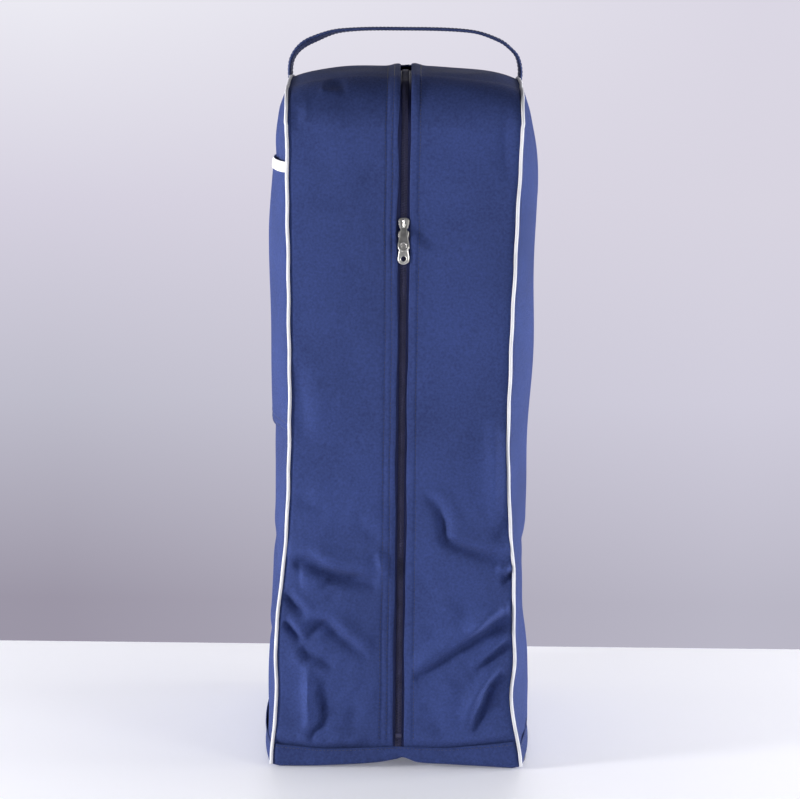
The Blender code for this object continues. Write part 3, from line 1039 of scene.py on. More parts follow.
    def build(self) -> None:
        """Make the panel and its topstitching."""
        word = self.side.word
        def crowd(u: Array) -> Array:
            run = np.clip((u - 0.16) / 0.84, 0.0, 1.0)
            eased = run - 0.55 * np.sin(2 * math.pi * run) / (2 * math.pi)
            return np.where(u < 0.16, u * 0.10 / 0.16, 0.10 + 0.90 * eased)

        panel = Cloth(f"front_and_top_{word}", 92, 330, self.place, (0.108, self.length),
                      (self.wardrobe.canvas, self.wardrobe.lining), 0.0007, spread=crowd).lay()
        at = vertices(panel)
        # How far the cloth stands forward: the canvas lightens there, as rub wear and a painted highlight on
        # the folds.
        ridge = np.clip((self.shape.front_y + 0.0005 - at[:, 1]) / 0.006, 0.0, 1.0)
        paint(panel, "ridge", ridge * (at[:, 2] < self.shape.turn_z))
        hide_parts("front_panel_" + word, "top_panel_" + word)
        self.swing.follow(panel, self.side)

        rows = [self.row(inset, 0.022, 0.985) for inset in self.insets]
        stitches = sew(f"zip_topstitch_{word}", rows, self.wardrobe.thread)
        self.swing.follow(stitches, self.side)
        log.info("front and top, %s", word)


def paint(obj: bpy.types.Object, name: str, values: Array) -> None:
    """Store one number for each vertex, for a material to read."""
    layer = obj.data.attributes.new(name, "FLOAT", "POINT")
    layer.data.foreach_set("value", values.astype(np.float32))


HEM_TOP = Curve(((-0.112, 0.0224), (-0.0885, 0.0199), (-0.0671, 0.0180), (-0.0377, 0.0188), (-0.0048, 0.0201),
                 (0.0275, 0.0196), (0.0480, 0.0198), (0.0685, 0.0217), (0.110, 0.0262)))
HEM_FOOT = Curve(((-0.112, 0.0), (-0.0626, 0.0010), (-0.0215, 0.0038), (-0.0011, 0.0070), (0.0044, 0.0088),
                  (0.0179, 0.0046), (0.0482, 0.0030), (0.091, 0.0008), (0.110, 0.0)))

LEFT_FOLDS = (
    Fold(((-0.0985, 0.1789), (-0.0840, 0.1872), (-0.0637, 0.1775), (-0.0477, 0.1731), (-0.0309, 0.1706),
          (-0.0132, 0.1654)), 0.0044, 0.0070, 0.0020, 1),
    Fold(((-0.0900, 0.1745), (-0.0778, 0.1746), (-0.0650, 0.1700)), -0.0020, 0.0095),
    Fold(((-0.1030, 0.1600), (-0.0926, 0.1482), (-0.0802, 0.1384)), 0.0026, 0.0040, 0.0012, 1),
    Fold(((-0.0540, 0.1640), (-0.0600, 0.1570), (-0.0655, 0.1530)), 0.0006, 0.0050, 0.0003),
    Fold(((-0.0206, 0.2010), (-0.0160, 0.1850), (-0.0124, 0.1708)), -0.0020, 0.0034),
    Fold(((-0.0420, 0.2254), (-0.0290, 0.2150), (-0.0185, 0.2040)), 0.0010, 0.0070, 0.0006, 1),
    Fold(((-0.1040, 0.1340), (-0.0961, 0.1274), (-0.0854, 0.1143)), 0.0028, 0.0036, 0.0014, 1),
    Fold(((-0.0854, 0.1143), (-0.0775, 0.1290), (-0.0651, 0.1313), (-0.0553, 0.1224), (-0.0348, 0.1062),
          (-0.0223, 0.1000)), 0.0026, 0.0052, 0.0015, 1),
    Fold(((-0.0854, 0.1148), (-0.0827, 0.1039), (-0.0649, 0.0968), (-0.0569, 0.0887)), 0.0022, 0.0042,
         0.0012, -1),
    Fold(((-0.0806, 0.0980), (-0.0806, 0.0640), (-0.0800, 0.0330)), -0.0030, 0.0046),
    Fold(((-0.0754, 0.0757), (-0.0691, 0.0593), (-0.0690, 0.0438), (-0.0769, 0.0299), (-0.0724, 0.0180)),
         0.0022, 0.0040, 0.0008, -1),
    Fold(((-0.0930, 0.2500), (-0.0800, 0.2380), (-0.0620, 0.2330)), 0.0009, 0.0090, 0.0005),
    Fold(((-0.0690, 0.6085), (-0.0610, 0.6060), (-0.0520, 0.6090)), 0.0015, 0.0060),
    Fold(((-0.0760, 0.6010), (-0.0640, 0.5985), (-0.0540, 0.6010)), -0.0007, 0.0040),
    Fold(((-0.0870, 0.5980), (-0.0850, 0.5850), (-0.0860, 0.5700)), -0.0005, 0.0045),
    Fold(((-0.0960, 0.5900), (-0.0930, 0.5800), (-0.0950, 0.5650)), 0.0007, 0.0050),
    Fold(((-0.0940, 0.3700), (-0.0880, 0.3300), (-0.0860, 0.2900)), 0.0008, 0.0080, 0.0006),
    Fold(((-0.0480, 0.0700), (-0.0400, 0.0500), (-0.0420, 0.0260)), 0.0005, 0.0090, 0.0004),
)

RIGHT_FOLDS = (
    Fold(((0.0132, 0.2501), (0.0300, 0.2414), (0.0381, 0.2244), (0.0419, 0.2074), (0.0694, 0.1961),
          (0.0906, 0.1909), (0.1014, 0.1811)), 0.0028, 0.0050, 0.0014, 1),
    Fold(((0.0840, 0.1860), (0.0925, 0.1837), (0.1000, 0.1820)), -0.0022, 0.0050),
    Fold(((0.0865, 0.1719), (0.0940, 0.1750), (0.1020, 0.1800)), 0.0024, 0.0040),
    Fold(((0.0806, 0.3300), (0.0820, 0.2700), (0.0830, 0.2200)), -0.0020, 0.0085),
    Fold(((0.1010, 0.1477), (0.0843, 0.1457), (0.0700, 0.1345), (0.0560, 0.1235)), -0.0034, 0.0062),
    Fold(((0.1000, 0.1430), (0.0845, 0.1321), (0.0687, 0.1201), (0.0538, 0.1100), (0.0389, 0.0998),
          (0.0239, 0.0878), (0.0090, 0.0821)), 0.0030, 0.0062, 0.0020, -1, 0.22),
    Fold(((0.0990, 0.1270), (0.0800, 0.1090), (0.0611, 0.0927)), -0.0022, 0.0046),
    Fold(((0.1010, 0.1186), (0.0875, 0.1094), (0.0752, 0.0993), (0.0647, 0.0910)), 0.0026, 0.0040),
    Fold(((0.0940, 0.1010), (0.0720, 0.0760), (0.0556, 0.0452)), -0.0026, 0.0060),
    Fold(((0.0940, 0.0930), (0.0818, 0.0775), (0.0758, 0.0610), (0.0698, 0.0453), (0.0656, 0.0288)),
         0.0028, 0.0042, 0.0010, -1),
    Fold(((0.0960, 0.2300), (0.0900, 0.2160), (0.0780, 0.2080)), 0.0011, 0.0055, 0.0007),
    Fold(((0.0200, 0.0640), (0.0330, 0.0480), (0.0360, 0.0270)), 0.0004, 0.0090, 0.0003),
    Fold(((0.0900, 0.5950), (0.0860, 0.5600), (0.0900, 0.5200)), 0.0009, 0.0080, 0.0006),
)


@dataclass
class SidePanel:
    """A side panel, standing out past its piped edges."""

    shape: BagShape
    wardrobe: Wardrobe
    side: Side
    behind_pocket: Curve = Curve(((0.0, 0.0), (0.27, 0.0), (0.31, 0.0022), (0.36, 0.0040), (0.45, 0.0064),
                                  (0.52, 0.0056),
                                  (0.540, 0.0040), (0.560, 0.0014), (0.58, 0.0)))

    def waves(self, u: Array, z: Array) -> Array:
        """Soft dents of the unsupported cloth."""
        seed = 41 if self.side is Side.LEFT else 57
        y = u * 0.26
        broad = Ripple(seed, 0.16, 0.0016)(y, z)
        fine = Ripple(seed + 1, 0.05, 0.0006)(y, z) * smoothstep((0.26 - z) / 0.12)
        crease = Fold(((0.015, 0.170), (0.070, 0.196), (0.150, 0.178), (0.235, 0.204)), 0.0016, 0.0085,
                      0.0007)(y, z)
        lower = Fold(((0.010, 0.130), (0.060, 0.112), (0.120, 0.122)), 0.0013, 0.0070, 0.0007)(y, z)
        heel = Fold(((0.250, 0.150), (0.200, 0.118), (0.165, 0.070)), 0.0016, 0.0080, 0.0007)(y, z)
        shoulder = Fold(((0.040, 0.600), (0.075, 0.560), (0.070, 0.500)), 0.0012, 0.0100, 0.0008)(y, z)
        edge = smoothstep(np.minimum(u, 1.0 - u) * 9.0)
        return (broad + fine + crease + lower + heel + shoulder) * edge

    def place(self, u: Array, v: Array) -> Array:
        """Lay the cut."""
        z = self.shape.side_rows(v)
        swell = -self.behind_pocket(z) if self.side is Side.LEFT else 0.0
        return self.shape.side_point(self.side, u, z, swell,
                                     self.waves(u, z) * smoothstep((0.600 - z) / 0.02))

    def build(self) -> None:
        """Make the panel and the stitch row along its piping."""
        word = self.side.word
        panel = Cloth(f"side_{word}", 84, 190, self.place, (0.26, 0.61),
                      (self.wardrobe.canvas, self.wardrobe.lining)).lay()
        at = vertices(panel)
        # How far the side cloth stands out: the canvas lightens there, as rub wear and a painted highlight.
        paint(panel, "ridge", np.clip((np.abs(at[:, 0]) - 0.116) / 0.006, 0.0, 0.6))
        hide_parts("side_panel_" + word)
        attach(panel, "shell")

        rows = []
        for share in (0.030, 0.970):
            v = np.linspace(0.02, 0.96, 500)
            path = self.place(np.full_like(v, share), v)
            rows.append((path, np.tile([self.side.value, -0.3 if share < 0.5 else 0.3, 0.0],
                                       (len(v), 1)).astype(float)))
        stitches = sew(f"side_seam_stitches_{word}", rows, self.wardrobe.thread)
        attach(stitches, "shell")
        log.info("side panel, %s", word)


@dataclass
class Pocket:
    """The slip pocket on the left side, with a white binding folded over its mouth."""

    shape: BagShape
    wardrobe: Wardrobe
    bottom: float = 0.302
    mouth: float = 0.5395
    binding: float = 0.0092
    proud: float = 0.0012

    def swell(self, z: Array) -> Array:
        """How the pocket stands off the panel behind it."""
        return 0.0004 - 0.0034 * smoothstep((z - 0.47) / 0.07)

    def pouch(self, u: Array, z: Array, out: float = 0.0) -> Array:
        """Point on the pocket's cloth."""
        waves = Ripple(71, 0.11, 0.0009)(u * 0.24, z) * smoothstep(np.minimum(u, 1 - u) * 9.0)
        sag = 0.0012 * np.sin(math.pi * u) * smoothstep((z - 0.50) / 0.045)
        points = self.shape.side_point(Side.LEFT, 0.006 + 0.988 * u, z, self.swell(z),
                                       self.proud + out + waves)
        points[:, 2] -= sag
        return points

    def build(self) -> None:
        """Make the pocket's cloth, its binding and their stitches."""
        top = self.mouth - 0.003

        def panel(u: Array, v: Array) -> Array:
            return self.pouch(u, self.bottom + (top - self.bottom) * v)

        cloth = Cloth("pocket_cloth", 80, 80, panel, (0.24, top - self.bottom),
                      (self.wardrobe.canvas, self.wardrobe.lining), 0.0010).lay()
        # How far the pocket cloth stands out: the canvas lightens there, as rub wear and a painted highlight.
        paint(cloth, "ridge", np.clip((np.abs(vertices(cloth)[:, 0]) - 0.1165) / 0.004, 0.0, 0.5))
        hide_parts("pocket_panel")
        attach(cloth, "shell")

        def fold_over(u: Array, v: Array) -> Array:
            turn = np.clip((v - 0.42) / 0.16, 0.0, 1.0) * math.pi
            rise = np.where(v < 0.5, np.minimum(v / 0.42, 1.0), np.minimum((1.0 - v) / 0.42, 1.0))
            z = self.mouth - self.binding + (self.binding - 0.0011) * rise + 0.0011 * np.sin(turn)
            return self.pouch(u, z, 0.00085 * np.cos(turn) + 0.0002)

        bound = Cloth("pocket_mouth_binding", 80, 22, fold_over, (0.24, 0.024), (self.wardrobe.binding,),
                      0.0006).lay()
        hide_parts("pocket_binding")
        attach(bound, "shell")

        u = np.linspace(0.01, 0.99, 300)
        out = np.tile([-1.0, 0.0, 0.0], (len(u), 1))
        hem = self.pouch(u, np.full_like(u, self.mouth - self.binding + 0.0016), 0.00115)
        stitched = sew("pocket_binding_stitches", [(hem, out)], self.wardrobe.white_thread, 0.0030, 0.0021,
                       0.0005)
        foot = [(self.pouch(u, np.full_like(u, self.bottom + rise), 0.0), out) for rise in (0.0022, 0.0082)]
        based = sew("pocket_base_stitches", foot, self.wardrobe.thread)
        for piece, slot in ((stitched, Slot.PIPING), (based, Slot.CANVAS)):
            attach(piece, "shell")
        log.info("pocket")


@dataclass
class BackPanel:
    """The back, one cut from the rear top seam down to the hem."""

    shape: BagShape
    wardrobe: Wardrobe

    def path(self, v: Array) -> tuple[Array, Array, Array, Array]:
        """Outline of the back by share of its length: y, z and the outward normal."""
        s = self.shape
        share = 0.11
        angle = np.clip(v / share, 0.0, 1.0) * math.pi / 2.0
        drop = np.clip((v - share) / (1.0 - share), 0.0, 1.0)
        z = s.turn_z + s.corner * np.cos(angle)
        z = np.where(v > share, s.turn_z - drop * (s.turn_z - s.hem_z + 0.006), z)
        y = s.back(z) - np.where(v > share, 0.0, s.corner * (1.0 - np.sin(angle)))
        slope = (s.back(z + 0.002) - s.back(z - 0.002)) / 0.004
        ny = np.where(v > share, 1.0, np.sin(angle))
        nz = np.where(v > share, -slope, np.cos(angle))
        size = np.hypot(ny, nz)
        return y, z, ny / size, nz / size

    def place(self, u: Array, v: Array) -> Array:
        """Lay the cut."""
        y, z, ny, nz = self.path(v)
        half = self.shape.rear_edge(np.minimum(z, 0.606)) - 0.0012
        side = 2.0 * u - 1.0
        x = side * half
        edge = 1.0 - np.abs(side)
        puff = (1.0 - np.abs(side) ** 2.2) * smoothstep(v * 6.0)
        height = 0.0032 * puff + Ripple(83, 0.12, 0.0014)(x, z) * puff
        height = height + Ripple(84, 0.035, 0.0005)(x, z) * puff * smoothstep((0.26 - z) / 0.1)
        for fold in (
            Fold(((-0.098, 0.215), (-0.050, 0.190), (0.010, 0.196), (0.085, 0.178)), 0.0030, 0.0070, 0.0016),
            Fold(((-0.090, 0.130), (-0.045, 0.112), (0.000, 0.118)), 0.0026, 0.0060, 0.0014),
            Fold(((0.095, 0.150), (0.060, 0.118), (0.045, 0.070)), 0.0026, 0.0060, 0.0014, -1),
            Fold(((-0.060, 0.070), (-0.052, 0.045), (-0.058, 0.024)), 0.0018, 0.0060, 0.0010),
            Fold(((0.080, 0.590), (0.060, 0.555), (0.070, 0.500)), 0.0012, 0.0090, 0.0008),
        ):
            height = height + fold(x, z) * smoothstep(edge * 8.0)
        height = height - 0.0014 * bump(edge * half, 0.0034)
        turn = np.clip((z - self.shape.turn_z) / self.shape.corner, 0.0, 1.0)
        z = z - self.shape.sag(x, half) * turn
        return np.stack([x, y + ny * height, z + nz * height], 1)

    def build(self) -> None:
        """Make the panel and its stitches."""
        panel = Cloth("back", 70, 200, self.place, (0.2, 0.61),
                      (self.wardrobe.canvas, self.wardrobe.lining)).lay()
        at = vertices(panel)
        # How far the back cloth stands out: the canvas lightens there, as rub wear and a painted highlight.
        paint(panel, "ridge", np.clip((at[:, 1] - self.shape.back(at[:, 2])) / 0.006, 0.0, 1.0))
        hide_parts("back_panel")
        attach(panel, "shell")

        rows = []
        for side in (0.026, 0.974):
            v = np.linspace(0.02, 0.965, 500)
            rows.append((self.place(np.full_like(v, side), v), self.outward(v)))
        u = np.linspace(0.02, 0.98, 200)
        rows.append((self.place(u, np.full_like(u, 0.010)), self.outward(np.full_like(u, 0.010))))
        stitches = sew("back_stitches", rows, self.wardrobe.thread)
        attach(stitches, "shell")
        log.info("back panel")

    def outward(self, v: Array) -> Array:
        """Outward normals at shares of the length."""
        _, _, ny, nz = self.path(v)
        return np.stack([np.zeros_like(ny), ny, nz], 1)


@dataclass
class Base:
    """The base panel, its turned-up hem band, and the stiffener board."""

    shape: BagShape
    wardrobe: Wardrobe
    cut: float = 0.0046
    proud: float = 0.0009
    half_width: float = 0.1116

    def rim(self, u: Array) -> tuple[Array, Array, Array]:
        """Point on the plan's edge by share of its way round, and how far it lies on the front."""
        s = self.shape
        front, back = s.front_y - self.proud, float(s.back(0.0)) + self.proud
        half = self.half_width
        corners = np.array([
            (-half + self.cut, front), (half - self.cut, front), (half, front + self.cut),
            (half, back - self.cut),
            (half - self.cut, back), (-half + self.cut, back), (-half, back - self.cut),
            (-half, front + self.cut),
            (-half + self.cut, front)])
        steps = np.hypot(*np.diff(corners, axis=0).T)
        reach = np.concatenate([[0.0], np.cumsum(steps)]) / steps.sum()
        x, y = np.interp(u, reach, corners[:, 0]), np.interp(u, reach, corners[:, 1])
        depth = np.clip((y - front - self.cut) / (back - front - 2 * self.cut), 0.0, 1.0)
        on_side = smoothstep((np.abs(x) - half + 0.0035) / 0.0035)
        x = x + np.sign(x) * (s.bulge(0.01) * (1.0 - np.abs(2 * depth - 1.0) ** 2.4) + self.proud) * on_side
        on_front = smoothstep((front + 0.0030 - y) / 0.003)
        return x, y, on_front

    def place(self, u: Array, v: Array) -> Array:
        """Lay the base from its middle out to the edge and up the hem band."""
        x, y, on_front = self.rim(u)
        floor_share = 0.60
        out = np.clip(v / floor_share, 0.0, 1.0)
        up = np.clip((v - floor_share) / (1.0 - floor_share), 0.0, 1.0)
        round_in = 0.0022 * (1.0 - smoothstep(up * 6.0)) * (v >= floor_share * 0.999)
        scale = out * (1.0 - 0.016 * (v < floor_share * 1.001)) - round_in / 0.12
        px, py = x * scale, y * scale
        front_raise = HEM_FOOT(px) * smoothstep((0.09 - (py - self.shape.front_y)) / 0.05)
        top = np.where(on_front > 0.5, HEM_TOP(px), self.shape.hem_z - 0.0006)
        z = front_raise + 0.0002 + (top - front_raise - 0.0002) * up
        band = (v > floor_share) * 1.0
        swell = 0.0006 * np.sin(math.pi * up) * band
        s = self.shape
        depth = np.clip((y - s.front_y) / (float(s.back(0.0)) - s.front_y), 0.0, 1.0)
        front_edge = np.where(px < 0.0, s.left_edge(z), s.right_edge(z))
        px = px * (front_edge * (1.0 - depth) + s.rear_edge(z) * depth + 0.0004) / self.half_width
        lean = (s.bulge(z) - s.bulge(0.01)) * (1.0 - np.abs(2.0 * depth - 1.0) ** 2.4)
        px = px + np.sign(px) * lean * smoothstep((np.abs(x) - self.half_width) / 0.002) * up
        py = py - swell * on_front + 0.0016 * np.exp(-((px / 0.011) ** 2)) * on_front * band
        py = py + Ripple(91, 0.045, 0.0005)(px, z * 3.0) * on_front * band
        return np.stack([px, py, z], 1)

    def stiffener(self) -> None:
        """The stiff board that lies inside on the base, with rounded corners."""
        low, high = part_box("base_board")
        centre, half = (low + high) / 2.0, (high - low) / 2.0

        def place(u: Array, v: Array) -> Array:
            a, b = 2.0 * u - 1.0, 2.0 * v - 1.0
            square = np.maximum(np.abs(a), np.abs(b))
            round_off = 1.0 - 0.045 * (np.minimum(np.abs(a), np.abs(b)) / np.maximum(square, 1e-6)) ** 10
            x, y = centre.x + a * half.x * round_off, centre.y + b * (half.y - 0.004) * round_off
            lift = HEM_FOOT(x) * smoothstep((0.075 - (y - self.shape.front_y)) / 0.05)
            return np.stack([x, y, high.z + 0.0004 + lift], 1)

        board = Cloth("stiffener_board", 60, 70, place, (0.2, 0.28), (self.wardrobe.board,), 0.0022,
                      np.array([0.0, 0.0, -1.0]), angle=30.0).lay()
        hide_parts("base_board")
        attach(board, "shell")

    def build(self) -> None:
        """Make the base, its stiffener and the band's stitches."""
        tray = Cloth("base_and_hem_band", 520, 30, self.place, (1.05, 0.17),
                     (self.wardrobe.canvas, self.wardrobe.lining), 0.0008, closed=True).lay()
        # Cloth near the floor: the canvas lightens there, as rub wear and a painted highlight.
        paint(tray, "ridge", np.clip(1.0 - vertices(tray)[:, 2] / 0.004, 0.0, 1.0))
        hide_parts("base_panel")
        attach(tray, "shell")

        u = np.linspace(0.0, 1.0, 1600)
        path = self.place(u, np.full_like(u, 0.955))
        x, y, on_front = self.rim(u)
        flat = np.stack([np.sign(x) * (1.0 - on_front) * (np.abs(x) > 0.108),
                         np.sign(y) * (np.abs(x) <= 0.1085), np.zeros_like(x)], 1)
        flat = flat + path * 0.001
        row = (path, flat / (np.linalg.norm(flat, axis=1)[:, None] + 1e-9))
        stitches = sew("hem_stitches", [row], self.wardrobe.thread, 0.0034, 0.0025, 0.0006)
        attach(stitches, "shell")
        self.stiffener()
        log.info("base")


@dataclass
class Piping:
    """White piping along the whole outline of a side, over the seam."""

    shape: BagShape
    wardrobe: Wardrobe
    side: Side
    radius: float = 0.00150
    depth: float = 0.0072

    def path(self) -> Array:
        """Centreline from the front foot over the top to the back foot."""
        s = self.shape
        z = np.linspace(0.0030, s.turn_z, 150)
        front = np.stack([self.side.value * s.edge(self.side, z), np.full_like(z, s.front_y), z], 1)
        angle = np.linspace(0.0, math.pi / 2.0, 16)[1:]
        top_x = float(s.edge(self.side, np.array([TOP_EDGE_Z]))[0])
        tall = s.corner - s.droop
        turn = np.stack([np.full_like(angle, top_x), s.front_y + s.corner * (1 - np.cos(angle)),
                         s.turn_z + tall * np.sin(angle)], 1)
        y = np.linspace(s.front_y + s.corner, s.rear_top_y - s.corner, 40)[1:]
        share = (y - y[0]) / (y[-1] - y[0])
        rear_x = float(s.rear_edge(np.array([TOP_EDGE_Z]))[0])
        top = np.stack([top_x + (rear_x - top_x) * share, y, s.turn_z + tall + s.top_rise(y)], 1)
        fall = s.turn_z + tall * np.cos(angle)
        down = np.stack([np.full_like(angle, rear_x), s.back(fall) - s.corner * (1 - np.sin(angle)), fall], 1)
        for part in (turn, top, down):
            part[:, 0] *= self.side.value
        z = z[::-1]
        back = np.stack([self.side.value * s.rear_edge(z), s.back(z), z], 1)
        path = np.concatenate([front, turn, top, down, back[1:]])
        reach = np.arange(len(path)) * 0.004
        path[:, 0] += self.side.value * 0.00022 * np.sin(reach * 140.0) + 0.00018 * np.sin(reach * 57.0)
        return path

    def build(self) -> None:
        """Make the piping and the seam binding inside it."""
        word = self.side.word
        cord = cord_mesh(f"piping_cord_{word}", self.path(), self.radius, self.wardrobe.piping)
        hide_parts("piping_" + word)
        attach(cord, "shell")
        self.binding()
        log.info("piping, %s", word)

    def binding(self) -> None:
        """The tape sewn over the seam allowance inside the piping."""
        line = self.path()[6:-6:2]
        run = np.gradient(line, axis=0)
        inward = np.stack([np.zeros(len(line)), -run[:, 2], run[:, 1]], 1)
        inward *= np.sign((inward * (BAG_HEART - line)).sum(1))[:, None]
        inward /= np.linalg.norm(inward, axis=1)[:, None]

        def place(u: Array, v: Array) -> Array:
            at = np.rint(v * (len(line) - 1)).astype(int)
            depth = self.depth + 0.0009 * np.sin(math.pi * u)
            points = line[at] + inward[at] * depth[:, None]
            points[:, 0] -= self.side.value * (0.0026 + 0.0066 * u)
            return points

        tape = Cloth(f"seam_tape_{self.side.word}", 5, len(line) - 1, place, (0.0066, 1.5),
                     (self.wardrobe.seam_tape,), 0.0006).lay()
        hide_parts("seam_binding_" + self.side.word)
        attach(tape, "shell")


@dataclass
class ZipRun:
    """The zip: two stringers of tape and coil from the hem over the top to the rear seam."""

    shape: BagShape
    wardrobe: Wardrobe
    swing: Swing
    pitch: float = 0.00142
    sink: float = 0.0020
    start_z: float = 0.0160
    coil_half: float = 0.0031

    def length(self) -> float:
        """Length of the chain."""
        s = self.shape
        return (s.turn_z - self.start_z) + s.corner * math.pi / 2.0 + s.flat_run - 0.004

    def line(self, t: Array, sink: float) -> tuple[Array, Array, Array, Array]:
        """Point and normal of the chain at distances along it."""
        y, z, ny, nz = self.shape.strip(t, self.start_z)
        return y - ny * sink, z - nz * sink, ny, nz

    def tape(self, side: Side) -> bpy.types.Object:
        """One woven tape."""
        length = self.length()

        def place(u: Array, v: Array) -> Array:
            y, z, ny, nz = self.line(v * length, self.sink)
            x = self.coil_half - 0.0007 + (0.0150 - self.coil_half) * u
            dip = 0.0003 * np.sin(z * 260.0 + side.value) * u
            return np.stack([side.value * x, y - ny * dip, z - nz * dip], 1)

        tape = Cloth(f"zip_tape_web_{side.word}", 8, 300, place, (0.012, length), (self.wardrobe.zip_tape,),
                     0.0005).lay()
        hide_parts(f"zip_tape_{side.word}", f"zip_tape_top_{side.word}")
        return tape

    def coil(self, side: Side) -> bpy.types.Object:
        """One coil, as its turns one behind the other."""
        deselect()
        bpy.ops.mesh.primitive_uv_sphere_add(segments=8, ring_count=6, radius=1.0,
                                             rotation=(0.0, math.pi / 2, 0.0))
        turn = settle(bpy.context.object)
        shape = vertices(turn)
        shape[:, 0] = np.sign(shape[:, 0]) * np.abs(shape[:, 0]) ** 0.6
        move_vertices(turn, shape * np.array([0.00172, 0.00052, 0.00078]))
        offset = 0.25 if side is Side.LEFT else 0.75
        stops = (np.arange(int(self.length() / self.pitch)) + offset) * self.pitch
        y, z, ny, nz = self.line(stops, self.sink - 0.0003)
        places = np.stack([np.full_like(y, side.value * 0.00134), y, z], 1)
        out = np.stack([np.zeros_like(y), ny, nz], 1)
        across = np.tile([1.0, 0.0, 0.0], (len(y), 1))
        coil = join_copies(f"zip_coil_turns_{side.word}", turn,
                           np.stack([across, np.cross(out, across), out], 2),
                           places, self.wardrobe.coil)
        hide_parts(f"zip_coil_{side.word}", f"zip_coil_top_{side.word}")
        return coil

    def build(self) -> None:
        """Make both stringers, the stops and the end tab."""
        for side in Side:
            for piece, slot in ((self.tape(side), Slot.ZIP_TAPE), (self.coil(side), Slot.ZIP_COIL)):
                self.swing.follow(piece, side)
        for node in ("zip_stop_bottom", "zip_stop_top"):
            self.stop(node)
        self.end_tab()
        log.info("zip")

    def stop(self, node: str) -> None:
        """A black nylon stop in the place of the frame's one."""
        low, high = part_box(node)
        deselect()
        bpy.ops.mesh.primitive_cube_add(size=1.0, location=(low + high) / 2.0, scale=high - low)
        stop = settle(bpy.context.object)
        bpy.ops.object.mode_set(mode="EDIT")
        bpy.ops.mesh.select_all(action="SELECT")
        bpy.ops.mesh.bevel(offset=0.0006, segments=3, affect="EDGES")
        bpy.ops.object.mode_set(mode="OBJECT")
        finish_mesh(stop, node + "_crimp", [self.wardrobe.coil], 50.0)
        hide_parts(node)
        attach(stop, "shell")

    def end_tab(self) -> None:
        """The cloth tab sewn across the rear end of the zip."""
        low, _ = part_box("zip_end_tab")
        seam = self.shape.rear_top_y - self.shape.corner
        start, half = low.y - 0.0030, 0.0118
        middle, depth = (start + seam) / 2.0, (seam - start) / 2.0

        def place(u: Array, v: Array) -> Array:
            a, b = 2.0 * u - 1.0, 2.0 * v - 1.0
            y = middle + b * depth
            top = self.shape.top_z + self.shape.top_rise(y) + 0.0048 - 0.0046 * smoothstep((v - 0.55) / 0.45)
            fall = 0.0013 * np.maximum(np.abs(a) ** 7, np.clip(-b, 0.0, 1.0) ** 7)
            return np.stack([a * half, y, top - fall + 0.0002 * np.sin(a * 7.0)], 1)

        tab = Cloth("zip_rear_tab", 16, 12, place, (0.021, 0.015), (self.wardrobe.canvas,), 0.0012).lay()
        ring = np.linspace(0.0, 2.0 * math.pi, 80)
        square = 1.0 / np.maximum(np.abs(np.cos(ring)), np.abs(np.sin(ring)))
        u, v = 0.5 + 0.41 * np.cos(ring) * square, 0.47 + 0.37 * np.sin(ring) * square
        path = place(u, v)
        stitches = sew("zip_rear_tab_stitches", [(path, np.tile([0.0, 0.0, 1.0], (len(ring), 1)))],
                       self.wardrobe.thread, 0.0026, 0.0019, 0.0005)
        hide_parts("zip_end_tab")
        for piece in (tab, stitches):
            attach(piece, "shell")


def flat_plate(name: str, outlines: Sequence[Sequence[tuple[float, float]]], thickness: float, rounding: float
               ) -> bpy.types.Object:
    """A thin plate with rounded rims, standing in the X-Z plane and facing -Y.

    Args:
        name: Piece name.
        outlines: The outer outline, then one for each hole.
        thickness: Thickness of the plate.
        rounding: Radius of its rims.

    Returns:
        The plate, as a mesh.
    """
    curve = bpy.data.curves.new(name, "CURVE")
    curve.dimensions = "2D"
    curve.fill_mode = "BOTH"
    curve.extrude = max(thickness / 2.0 - rounding, 0.00001)
    curve.bevel_depth = rounding
    curve.bevel_resolution = 3
    curve.offset = -rounding
    for outline in outlines:
        line = curve.splines.new("POLY")
        line.points.add(len(outline) - 1)
        line.points.foreach_set("co", np.array([(x, z, 0.0, 1.0) for x, z in outline]).ravel())
        line.use_cyclic_u = True
    plate = bpy.data.objects.new(name, curve)
    bpy.context.scene.collection.objects.link(plate)
    pick(plate)
    bpy.ops.object.convert(target="MESH")
    plate = bpy.context.object
    bpy.ops.object.mode_set(mode="EDIT")
    bpy.ops.mesh.select_all(action="SELECT")
    bpy.ops.mesh.remove_doubles(threshold=0.000004)
    bpy.ops.mesh.normals_make_consistent(inside=False)
    bpy.ops.object.mode_set(mode="OBJECT")
    plate.rotation_euler = (math.pi / 2.0, 0.0, 0.0)
    return settle(plate)


def ring_of(x: float, z: float, wide: float, tall: float, count: int = 28, squareness: float = 1.0
            ) -> list[tuple[float, float]]:
    """Points of a round or rounded-square outline."""
    turns = [2.0 * math.pi * k / count for k in range(count)]

    def soft(value: float) -> float:
        return math.copysign(abs(value) ** squareness, value)

    return [(x + wide * soft(math.cos(t)), z + tall * soft(math.sin(t))) for t in turns]


